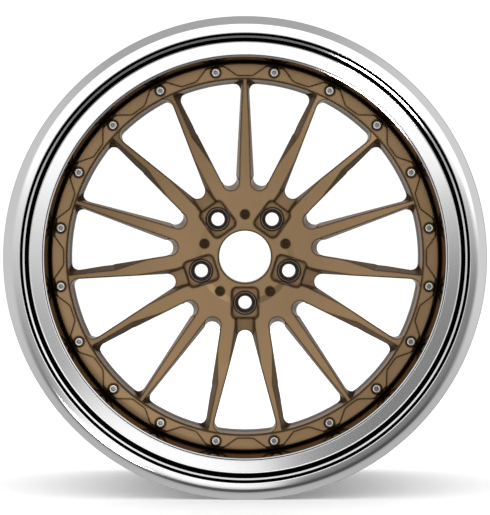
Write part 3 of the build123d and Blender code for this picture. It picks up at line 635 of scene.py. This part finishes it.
@dataclass(frozen=True)
class Moulded(Finish):
    """Rubber, sealant or plastic: dull, faintly mottled, with dust in its corners."""

    base: Colour = (0.022, 0.022, 0.023, 1.0)
    dusty: Colour = (0.06, 0.058, 0.055, 1.0)
    roughness: float = 0.6
    grain_strength: float = 0.12

    def fill(self, material: bpy.types.Material, shader: bpy.types.Node) -> None:
        """Wire a dull mottled body with a moulded grain."""
        links = material.node_tree.links
        grain = _place_group(material, self.groups.grain)
        grain.inputs["Mottle Scale"].default_value = 220.0
        edges = _place_group(material, self.groups.edges)
        dust = _scaled(material, edges.outputs["Shelter"], 0.0, 0.6)
        body = _mix(material, dust, self.base, self.dusty)
        links.new(body, shader.inputs["Base Color"])
        rough = _scaled(material, grain.outputs["Mottle"], self.roughness - 0.1, self.roughness + 0.1)
        links.new(rough, shader.inputs["Roughness"])
        bump = material.node_tree.nodes.new("ShaderNodeBump")
        bump.inputs["Strength"].default_value = self.grain_strength
        bump.inputs["Distance"].default_value = 0.0003
        links.new(grain.outputs["Height"], bump.inputs["Height"])
        links.new(bump.outputs["Normal"], shader.inputs["Normal"])


@dataclass(frozen=True)
class PaintedFloor(Finish):
    """The pale studio floor."""

    base: Colour = (0.95, 0.95, 0.95, 1.0)

    def fill(self, material: bpy.types.Material, shader: bpy.types.Node) -> None:
        """Set a plain matte floor with a faint mottle in its roughness."""
        grain = _place_group(material, self.groups.grain)
        rough = _scaled(material, grain.outputs["Mottle"], 0.7, 0.85)
        material.node_tree.links.new(rough, shader.inputs["Roughness"])
        shader.inputs["Base Color"].default_value = self.base


class Palette:
    """Every material on the wheel, built once."""

    def __init__(self) -> None:
        groups = SharedGroups()
        self.bronze = SatinBronze("satin_bronze", groups).build()
        self.mirror = TurnedMetal("mirror_aluminium", groups).build()
        # Painted reflection: the polished wall in front of the step is painted near black, with a dark
        # grazing tint, standing for the dark barrel that it reflects.
        self.front_wall_painted_reflection = TurnedMetal(
            "lip_front_wall_painted_reflection", groups, base=(0.03, 0.022, 0.014, 1.0),
            worn=(0.06, 0.042, 0.026, 1.0), roughness=0.12, grazing=(0.05, 0.04, 0.03, 1.0),
        ).build()
        # Painted reflection and painted shade: the polished wall behind the step is painted a warm grey
        # standing for the bronze that it reflects, and near black in its corner by the ring.
        self.back_wall_painted_reflection = TurnedMetal(
            "lip_back_wall_painted_reflection", groups, base=(0.50, 0.44, 0.38, 1.0),
            worn=(0.40, 0.35, 0.30, 1.0), corner=(0.01, 0.008, 0.006, 1.0), roughness=0.1,
            painted_shade_strength=0.7, painted_shade_reach=12.0, grazing=(0.45, 0.40, 0.34, 1.0),
        ).build()
        # Every finish below that sets a corner darkening strength paints shade into its sheltered
        # corners.
        self.barrel = TurnedMetal(
            "machined_barrel", groups, base=(0.62, 0.62, 0.63, 1.0), worn=(0.52, 0.52, 0.53, 1.0),
            roughness=0.24, lines=0.08, painted_shade_strength=0.4,
        ).build()
        self.stainless = TurnedMetal(
            "polished_bolt_steel", groups, base=(0.74, 0.73, 0.71, 1.0),
            worn=(0.62, 0.61, 0.59, 1.0), corner=(0.02, 0.015, 0.012, 1.0), roughness=0.28,
            painted_shade_strength=0.9,
        ).build()
        self.plated = TurnedMetal(
            "zinc_plate", groups, base=(0.60, 0.60, 0.62, 1.0), worn=(0.46, 0.46, 0.48, 1.0),
            roughness=0.32, lines=0.05, painted_shade_strength=0.5,
        ).build()
        self.seat = TurnedMetal(
            "machined_seat_steel", groups, base=(0.36, 0.32, 0.29, 1.0),
            worn=(0.27, 0.24, 0.215, 1.0), corner=(0.02, 0.015, 0.012, 1.0), roughness=0.36,
            lines=0.12, lines_scale=1400.0, painted_shade_strength=0.5,
        ).build()
        self.valve = TurnedMetal(
            "turned_valve_metal", groups, base=(0.62, 0.61, 0.59, 1.0),
            worn=(0.50, 0.49, 0.47, 1.0), roughness=0.25, lines=0.15, lines_scale=2600.0,
        ).build()
        self.brass = TurnedMetal(
            "turned_brass", groups, base=(0.76, 0.56, 0.24, 1.0), worn=(0.60, 0.43, 0.18, 1.0),
            roughness=0.28, lines=0.1, lines_scale=2600.0,
        ).build()
        self.spring = TurnedMetal(
            "drawn_spring_wire", groups, base=(0.55, 0.55, 0.56, 1.0),
            worn=(0.42, 0.42, 0.43, 1.0), roughness=0.3,
        ).build()
        self.rubber = Moulded("valve_rubber", groups).build()
        self.sealant = Moulded(
            "cured_sealant", groups, base=(0.05, 0.05, 0.052, 1.0), roughness=0.5,
            grain_strength=0.3,
        ).build()
        self.plastic = Moulded(
            "moulded_cap_plastic", groups, base=(0.018, 0.018, 0.019, 1.0), roughness=0.42
        ).build()
        self.floor = PaintedFloor("studio_floor", groups).build()


# ---- Sub-assemblies ----


@dataclass
class SubAssembly(ABC):
    """A part of the wheel that models its pieces and dresses them."""

    palette: Palette
    nodes: dict[str, bpy.types.Object]
    body: str = "wheel"

    @abstractmethod
    def make(self) -> list[bpy.types.Object]:
        """Model and dress the pieces.

        Returns:
            The pieces that show, new or kept from the frame.
        """

    def stand_for(
        self, piece: bpy.types.Object, node: str, slot: str, body: str | None = None
    ) -> None:
        """Let a piece ride on a body in place of a CAD node.

        Args:
            piece: the new piece.
            node: the CAD node that it replaces.
            slot: the record's material slot; not used.
            body: the body it moves with, the wheel unless named.
        """
        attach(piece, body or self.body)
        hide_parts(node)

    def keep(self, node: str, material: bpy.types.Material) -> bpy.types.Object:
        """Keep a CAD node's shape and give it a finish.

        Args:
            node: the node's name.
            material: its new material.

        Returns:
            The node's object.
        """
        piece = self.nodes[node]
        for index in range(max(1, len(piece.material_slots))):
            if piece.material_slots:
                piece.material_slots[index].material = material
            else:
                piece.data.materials.append(material)
        return piece


@dataclass
class OuterRim(SubAssembly):
    """The polished street half: curled flange, stepped lip, mirror wall and bolting flange."""

    flange_radius: float = 286.4
    seat_radius: float = 269.1
    edge_y: float = 146.0
    bead_y: float = 133.35
    step_y: float = -111.0
    step_rise: float = 0.4
    ledge_width: float = 1.6
    barrel_bore: float = 238.0
    well_radius: float = 243.8
    plate_bore: float = 216.0
    plate_front: float = -57.0
    split_y: float = -51.0
    spin_steps: int = 360

    def profile(self) -> list[Corner]:
        """List the corners of the half's section, clockwise from its bolting flange.

        Returns:
            The closed profile.
        """
        wall = self.barrel_bore - 0.2
        mouth = wall + 3.4
        ledge = mouth + self.ledge_width
        ledge_y = self.step_y + self.step_rise + self.ledge_width
        edge = self.seat_radius - 3.2
        ridge_y = -self.edge_y + 9.0
        return [
            Corner(self.plate_bore, self.plate_front),
            Corner(wall, self.plate_front, 2.5),
            Corner(mouth, ledge_y, 0.5),
            Corner(ledge, ledge_y - 0.4, 0.5),
            Corner(ledge + 0.9, self.step_y + self.step_rise, 0.5),
            Corner(ledge + 2.4, self.step_y + self.step_rise * 0.9),
            Corner(edge - 9.0, self.step_y + self.step_rise * 0.18),
            Corner(edge - 6.0, self.step_y, 2.0),
            Corner(edge - 4.3, ridge_y + 0.6, 0.4),
            Corner(edge - 1.9, ridge_y, 0.4),
            Corner(edge, -self.edge_y, 1.6),
            Corner(edge + 10.1, -self.edge_y, 20.0),
            Corner(self.flange_radius, -self.edge_y + 2.6, 1.0),
            Corner(self.flange_radius, -self.edge_y + 4.4, 0.8),
            Corner(self.flange_radius - 5.8, -self.bead_y, 8.0),
            Corner(self.seat_radius, -self.bead_y, 6.0),
            Corner(self.seat_radius - 1.8, -self.bead_y + 20.0, 2.5),
            Corner(self.seat_radius - 0.9, -self.bead_y + 23.5, 2.5),
            Corner(self.seat_radius - 2.6, self.step_y + 6.0, 3.0),
            Corner(mouth + 8.8, self.step_y + 6.0 + self.step_rise, 4.0),
            Corner(mouth + 5.8, self.step_y + 10.0 + self.step_rise, 6.0),
            Corner(self.well_radius, self.split_y - 4.0),
            Corner(self.well_radius - 4.0, self.split_y),
            Corner(self.plate_bore, self.split_y),
        ]

    def dress_walls(self, piece: bpy.types.Object) -> None:
        """Give the faces that look at the axle, deep in the lip, the two darker materials that paint
        reflection and shade on the polished metal there.

        Args:
            piece: the spun half, with its three materials.
        """
        seat_edge = self.seat_radius * MM
        for face in piece.data.polygons:
            middle = face.center
            radius = math.hypot(middle.x, middle.z)
            inward = -(face.normal.x * middle.x + face.normal.z * middle.z) / radius
            if radius > seat_edge or middle.y > self.plate_front * MM or inward < 0.5:
                continue
            # In front of the step the first painted-reflection material, behind it the second.
            face.material_index = 1 if middle.y < self.step_y * MM else 2

    def make(self) -> list[bpy.types.Object]:
        """Spin the polished half and dress it."""
        piece = spin_profile("polished_outer_rim", self.profile(), self.spin_steps, arc_step=6.0)
        assign([piece], self.palette.mirror)
        # The two wall materials paint the reflection and shade seen deep in the lip.
        piece.data.materials.append(self.palette.front_wall_painted_reflection)
        piece.data.materials.append(self.palette.back_wall_painted_reflection)
        self.dress_walls(piece)
        self.stand_for(piece, "outer_rim_half", "polished_lip")
        return [piece]


@dataclass
class InnerRim(SubAssembly):
    """The car-side half: bolting flange, barrel, ramp, seat and flange, and the sealant."""

    def make(self) -> list[bpy.types.Object]:
        """Dress the machined half and the bead of sealant."""
        return [
            self.keep("inner_rim_half", self.palette.barrel),
            self.keep("rim_seal", self.palette.sealant),
        ]


@dataclass
class WheelCentre(SubAssembly):
    """The forged spokes, hub and bolted ring."""

    def make(self) -> list[bpy.types.Object]:
        """Dress the forging."""
        return [self.keep("wheel_centre", self.palette.bronze)]


@dataclass
class JointFasteners(SubAssembly):
    """The bolts, washers and nuts that clamp the rim halves to the centre."""

    count: int = 20
    circle: float = 227.4
    head_radius: float = 4.95
    head_front: float = -71.0
    head_back: float = -65.0
    shank_radius: float = 3.5
    shank_back: float = -36.3
    socket_flats: float = 5.0
    socket_depth: float = 3.5
    washer_front: float = -45.0
    washer_thickness: float = 1.2
    washer_radius: float = 7.0
    nut_flats: float = 11.0
    nut_height: float = 6.0

    @property
    def angles(self) -> list[float]:
        """Degrees round the wheel, from the top."""
        pitch = 360.0 / self.count
        return [pitch * (k + 0.5) for k in range(self.count)]

    def bolt(self) -> bpy.types.Object:
        """Model one socket-head bolt at the top of the wheel.

        Returns:
            The bolt, with a round head, a hexagon socket and a plain shank.
        """
        profile = [
            Corner(0.001, self.head_front + 0.35),
            Corner(2.9, self.head_front + 0.35),
            Corner(3.4, self.head_front, 0.3),
            Corner(self.head_radius, self.head_front, 0.9),
            Corner(self.head_radius, self.head_back, 0.2),
            Corner(self.shank_radius, self.head_back, 0.2),
            Corner(self.shank_radius, self.shank_back, 0.6),
            Corner(0.001, self.shank_back),
        ]
        bolt = spin_profile("joint_bolt", profile, Drive.ROUND.value, arc_step=20.0)
        flats = self.socket_flats / 2 / math.cos(math.pi / 6)
        socket = rod(
            "socket", flats, self.head_front - 1, self.head_front + self.socket_depth,
            Drive.HEXAGON.value,
        )
        carve(bolt, socket)
        smooth(bolt, 30.0)
        shift(bolt, Vector((0, 0, self.circle * MM)))
        return bolt

    def washer(self) -> bpy.types.Object:
        """Model one washer with rounded rims at the top of the wheel."""
        back = self.washer_front + self.washer_thickness
        profile = [
            Corner(self.shank_radius + 0.1, self.washer_front),
            Corner(self.washer_radius, self.washer_front, 0.15),
            Corner(self.washer_radius, back, 0.35),
            Corner(self.shank_radius + 0.1, back),
        ]
        washer = spin_profile("joint_washer", profile, Drive.ROUND.value, arc_step=30.0)
        shift(washer, Vector((0, 0, self.circle * MM)))
        return washer

    def nut(self) -> bpy.types.Object:
        """Model one bevelled hexagon nut at the top of the wheel."""
        front = self.washer_front + self.washer_thickness
        nut = rod(
            "joint_nut", self.nut_flats / 2 / math.cos(math.pi / 6), front,
            front + self.nut_height, Drive.HEXAGON.value,
        )
        soften_edges(nut, 0.35, 50.0)
        hole = rod("hole", self.shank_radius + 0.05, front - 1, front + self.nut_height + 1)
        carve(nut, hole)
        smooth(nut, 30.0)
        shift(nut, Vector((0, 0, self.circle * MM)))
        return nut

    def make(self) -> list[bpy.types.Object]:
        """Model one of each, copy them round the wheel and dress them."""
        made = []
        for first, stem, node, slot, material in (
            (self.bolt(), "joint_bolt", "assembly_bolts", "bolt_steel", self.palette.stainless),
            (self.washer(), "joint_washer", "assembly_washers", "plated_steel", self.palette.plated),
            (self.nut(), "joint_nut", "assembly_nuts", "plated_steel", self.palette.plated),
        ):
            copies = copies_round_wheel(first, stem, self.angles)
            assign(copies, material)
            for piece in copies:
                self.stand_for(piece, node, slot)
            made.extend(copies)
        return made


@dataclass
class LugSeats(SubAssembly):
    """The five conical steel seats for the wheel nuts."""

    count: int = 5
    circle: float = 57.15
    hole_radius: float = 8.2
    cone_radius: float = 12.7
    insert_radius: float = 13.5
    front: float = -36.4
    length: float = 12.0
    half_angle: float = 30.0

    def make(self) -> list[bpy.types.Object]:
        """Spin one seat, copy it to each lug and dress the copies."""
        depth = (self.cone_radius - self.hole_radius) / math.tan(math.radians(self.half_angle))
        profile = [
            Corner(self.hole_radius, self.front + depth, 0.6),
            Corner(self.cone_radius, self.front, 0.25),
            Corner(self.insert_radius, self.front, 0.4),
            Corner(self.insert_radius, self.front + self.length),
            Corner(self.hole_radius, self.front + self.length),
        ]
        seat = spin_profile("lug_seat", profile, 96, arc_step=15.0)
        shift(seat, Vector((0, 0, self.circle * MM)))
        pitch = 360.0 / self.count
        angles = [pitch * (k + 0.5) for k in range(self.count)]
        seats = copies_round_wheel(seat, "turned_lug_seat", angles)
        assign(seats, self.palette.seat)
        for number, piece in enumerate(seats, start=1):
            self.stand_for(piece, f"lug_seat_{number}", "seat_steel")
        return seats


@dataclass
class TyreValve(SubAssembly):
    """The valve at the bottom of the barrel: stem, seals, core and cap."""

    foot: Vector = field(default_factory=lambda: Vector((0.0, -30.5, -238.2)))
    chamber_floor: float = 10.0
    spring_length: float = 6.0
    spring_radius: float = 1.05
    wire_radius: float = 0.15
    spring_turns: int = 6
    pin_travel: float = 1.5

    def wind_spring(self) -> bpy.types.Object:
        """Wind the core's spring, which on the real valve shortens as the pin is pressed; here it stays
        as wound.
        """
        pitch = (self.spring_length - 2 * self.wire_radius) / self.spring_turns
        spring = wind_coil(
            "wound_core_spring", self.spring_radius, self.wire_radius, self.spring_turns, pitch
        )
        floor = (self.foot + Vector((0, 0, self.chamber_floor))) * MM
        shift(spring, floor + Vector((0, 0, self.wire_radius * MM)))
        assign([spring], self.palette.spring)
        self.stand_for(spring, "valve_core_spring", "spring_steel")
        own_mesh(spring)
        return spring

    def make(self) -> list[bpy.types.Object]:
        """Wind the spring, and dress the valve's other pieces."""
        finishes = {
            "valve_stem": self.palette.valve,
            "valve_washer": self.palette.plated,
            "valve_nut": self.palette.plated,
            "valve_core_body": self.palette.brass,
            "valve_core_pin": self.palette.brass,
            "valve_core_seal": self.palette.rubber,
            "valve_plunger_seal": self.palette.rubber,
            "valve_grommet": self.palette.rubber,
            "valve_cap_seal": self.palette.rubber,
            "valve_cap": self.palette.plastic,
        }
        kept = [self.keep(node, material) for node, material in finishes.items()]
        return [self.wind_spring(), *kept]


# ---- Studio ----


@dataclass
class Studio:
    """A pale floor, a camera in front of the wheel, and a soft studio all round it."""

    palette: Palette
    low: Vector
    high: Vector
    floor_size: float = 8.0
    aim: Vector = field(default_factory=lambda: Vector((0.0, -0.052, -0.0008)))
    distance: float = 2.494
    elevation: float = 1.3
    lens: float = 141.9
    sensor: float = 36.0
    lamp_place: Vector = field(default_factory=lambda: Vector((-0.50, -2.2, -0.68)))
    lamp_aim: Vector = field(default_factory=lambda: Vector((-0.05, 0.0, -0.05)))
    lamp_size: float = 0.36
    lamp_energy: float = 5.0

    def make(self) -> None:
        """Set the floor, the camera, the lamp and the surround."""
        self.lay_floor()
        self.set_camera()
        self.add_lamp()
        self.surround()

    def lay_floor(self) -> None:
        """Lay a wide floor under the wheel."""
        deselect_everything()
        bpy.ops.mesh.primitive_plane_add(size=self.floor_size, location=(0, 0, 0))
        floor = bpy.context.object
        floor.name = "studio_floor"
        bpy.ops.object.mode_set(mode="EDIT")
        bpy.ops.mesh.select_all(action="SELECT")
        bpy.ops.mesh.subdivide(number_cuts=3)
        bpy.ops.transform.translate(value=(0, 0, self.low.z))
        bpy.ops.object.mode_set(mode="OBJECT")
        assign([floor], self.palette.floor)
        floor.visible_glossy = False
        floor.visible_shadow = False
        floor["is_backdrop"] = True

    def set_camera(self) -> None:
        """Stand the camera square to the street face, a little above the hub."""
        deselect_everything()
        rise = math.radians(self.elevation)
        back = Vector((0.0, -math.cos(rise), math.sin(rise)))
        bpy.ops.object.camera_add(location=self.aim + back * self.distance)
        camera = bpy.context.object
        camera.name = "street_camera"
        camera.rotation_mode = "QUATERNION"
        camera.rotation_quaternion = (-back).to_track_quat("-Z", "Y")
        camera.data.lens = self.lens
        camera.data.sensor_width = self.sensor
        camera.data.clip_start = 0.1
        camera.data.clip_end = 60.0
        bpy.context.scene.camera = camera

    def add_lamp(self) -> None:
        """Hang a soft round lamp low on the left, out of the camera's sight."""
        deselect_everything()
        bpy.ops.object.light_add(type="AREA", location=self.lamp_place)
        lamp = bpy.context.object
        lamp.name = "low_left_softbox"
        lamp.rotation_mode = "QUATERNION"
        lamp.rotation_quaternion = (self.lamp_aim - self.lamp_place).to_track_quat("-Z", "Y")
        lamp.data.shape = "DISK"
        lamp.data.size = self.lamp_size
        lamp.data.energy = self.lamp_energy
        lamp.visible_camera = False

    def surround(self) -> None:
        """Build the studio that the metal reflects."""
        world = bpy.data.worlds.new("soft_studio")
        bpy.context.scene.world = world
        world.use_nodes = True
        world.cycles.sampling_method = "NONE"
        world.node_tree.nodes.clear()
        StudioSky(world.node_tree).build()
        bpy.context.scene.view_settings.view_transform = "Standard"


class StudioSky:
    """The studio's panels, as brightness by direction.

    A direction is told by its angle round the wheel and by how far it leans from the spin axis,
    off_axis, which is 0 straight in front of the wheel and 1 square to the axis.
    """

    CAMERA_DIP = 0.023  # lifts the panels' middle to the line of sight, which looks slightly down
    HIGH_PANEL = 1.1
    BEHIND = 1.0
    SEEN_WHITE = 1.07
    DIFFUSE_WHITE = 1.55

    def __init__(self, tree: bpy.types.NodeTree) -> None:
        self.tree = tree
        self.links = tree.links

    def math(self, operation: str, first: object, second: object = 0.0) -> bpy.types.NodeSocket:
        """Add a math node and wire or set its inputs."""
        node = self.tree.nodes.new("ShaderNodeMath")
        node.operation = operation
        for socket, value in zip(node.inputs, (first, second)):
            if isinstance(value, bpy.types.NodeSocket):
                self.links.new(value, socket)
            else:
                socket.default_value = value
        return node.outputs["Value"]

    def ramp(self, value: bpy.types.NodeSocket, start: float, end: float) -> bpy.types.NodeSocket:
        """Rise smoothly from 0 at start to 1 at end."""
        node = self.tree.nodes.new("ShaderNodeMapRange")
        node.interpolation_type = "SMOOTHSTEP"
        node.inputs["From Min"].default_value = start
        node.inputs["From Max"].default_value = end
        self.links.new(value, node.inputs["Value"])
        return node.outputs["Result"]

    def blend(self, mask: bpy.types.NodeSocket, low: object, high: object) -> bpy.types.NodeSocket:
        """Blend two brightnesses by a mask."""
        node = self.tree.nodes.new("ShaderNodeMix")
        node.data_type = "FLOAT"
        self.links.new(mask, node.inputs["Factor"])
        for socket, value in ((node.inputs["A"], low), (node.inputs["B"], high)):
            if isinstance(value, bpy.types.NodeSocket):
                self.links.new(value, socket)
            else:
                socket.default_value = value
        return node.outputs["Result"]

    def towards(self, flat: Flat, degrees: float) -> bpy.types.NodeSocket:
        """Measure how far a direction points towards an angle round the wheel.

        Args:
            flat: the direction's parts across and upward.
            degrees: the angle, clockwise from the top.

        Returns:
            The cosine of the angle between the two.
        """
        turn = math.radians(degrees)
        right = self.math("MULTIPLY", flat[0], math.sin(turn))
        return self.math("ADD", right, self.math("MULTIPLY", flat[1], math.cos(turn)))

    def length(self, first: object, second: object) -> bpy.types.NodeSocket:
        """Work out the length of a flat direction from its two parts."""
        squares = self.math("MULTIPLY", first, first), self.math("MULTIPLY", second, second)
        return self.math("SQRT", self.math("ADD", *squares))

    def high_panel(self, flat: Flat, off_axis: bpy.types.NodeSocket) -> bpy.types.NodeSocket:
        """Brightness that the broad panel high in front adds."""
        high = self.ramp(self.towards(flat, 10.0), 0.1, 0.7)
        near = self.ramp(off_axis, 0.12, 0.20)
        band = self.math("SUBTRACT", near, self.ramp(off_axis, 0.36, 0.46))
        return self.math("MULTIPLY", self.math("MULTIPLY", high, band), self.HIGH_PANEL)

    def in_front(self, flat: Flat, off_axis: bpy.types.NodeSocket) -> bpy.types.NodeSocket:
        """Brightness of the half of the studio that the street face looks at."""
        across, upward = flat
        right_grey = self.blend(self.ramp(upward, -0.2, 0.3), 0.22, 0.55)
        left_grey = self.blend(self.ramp(upward, -0.45, 0.25), 0.32, 0.75)
        far_left = self.ramp(self.towards(flat, 258.0), 0.80, 0.93)
        left = self.blend(far_left, 1.15, left_grey)
        inner = self.blend(self.ramp(self.towards(flat, 120.0), 0.58, 0.68), left, right_grey)
        outer_left = self.blend(self.ramp(across, -0.9, -0.5), 0.62, 0.42)
        outer = self.blend(self.ramp(across, 0.2, 0.8), outer_left, 0.68)
        above = self.blend(self.ramp(off_axis, 0.14, 0.46), inner, outer)
        dim_below = self.blend(self.ramp(off_axis, 0.10, 0.24), inner, 0.08)
        below = self.blend(self.ramp(off_axis, 0.38, 0.56), dim_below, 0.48)
        near = self.blend(self.ramp(upward, -0.75, -0.1), below, above)
        wide = self.blend(self.ramp(self.towards(flat, 217.0), 0.1, 1.0), 0.12, 0.5)
        whole = self.blend(self.ramp(off_axis, 0.75, 0.97), near, wide)
        return self.math("ADD", whole, self.high_panel(flat, off_axis))

    def behind(self, flat: Flat, depth: bpy.types.NodeSocket) -> bpy.types.NodeSocket:
        """Brightness of the half of the studio behind the wheel."""
        sideways = self.blend(self.ramp(self.towards(flat, 323.0), -0.3, 0.9), 0.10, 0.55)
        return self.blend(self.ramp(depth, 0.80, 0.93), sideways, self.BEHIND)

    def panels(self) -> bpy.types.NodeSocket:
        """Brightness of the studio in every direction."""
        place = self.tree.nodes.new("ShaderNodeTexCoord")
        parts = self.tree.nodes.new("ShaderNodeSeparateXYZ")
        self.links.new(place.outputs["Generated"], parts.inputs["Vector"])
        x, depth = parts.outputs["X"], parts.outputs["Y"]
        z = self.math("ADD", parts.outputs["Z"], self.CAMERA_DIP)
        off_axis = self.length(x, z)
        safe = self.math("MAXIMUM", off_axis, 0.001)
        flat = self.math("DIVIDE", x, safe), self.math("DIVIDE", z, safe)
        front = self.in_front(flat, off_axis)
        return self.blend(self.ramp(depth, -0.05, 0.25), front, self.behind(flat, depth))

    def build(self) -> None:
        """Wire the panels, and a plain white surround for what the camera and the floor see."""
        nodes = self.tree.nodes
        studio = nodes.new("ShaderNodeBackground")
        self.links.new(self.panels(), studio.inputs["Color"])
        path = nodes.new("ShaderNodeLightPath")
        diffuse = path.outputs["Is Diffuse Ray"]
        strength = self.blend(diffuse, self.SEEN_WHITE, self.DIFFUSE_WHITE)
        white = nodes.new("ShaderNodeBackground")
        white.inputs["Color"].default_value = (1.0, 1.0, 1.0, 1.0)
        self.links.new(strength, white.inputs["Strength"])
        pick = nodes.new("ShaderNodeMixShader")
        plain = self.math("MAXIMUM", path.outputs["Is Camera Ray"], diffuse)
        self.links.new(plain, pick.inputs["Fac"])
        self.links.new(studio.outputs["Background"], pick.inputs[1])
        self.links.new(white.outputs["Background"], pick.inputs[2])
        output = nodes.new("ShaderNodeOutputWorld")
        self.links.new(pick.outputs["Shader"], output.inputs["Surface"])


# ---- The whole ----


def main() -> None:
    """Load the frame, model and dress every sub-assembly, and set the studio."""
    logging.basicConfig(level=logging.INFO, format="%(name)s: %(message)s")
    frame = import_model()
    cad_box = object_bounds()
    palette = Palette()
    studio = Studio(palette, *cad_box)
    for kind in (WheelCentre, OuterRim, InnerRim, JointFasteners, LugSeats, TyreValve):
        for piece in kind(palette, frame["nodes"]).make():
            LOG.info("%s: %s, %d faces", kind.__name__, piece.name, len(piece.data.polygons))
    studio.make()
    deselect_everything()


if __name__ == "__main__":
    main()
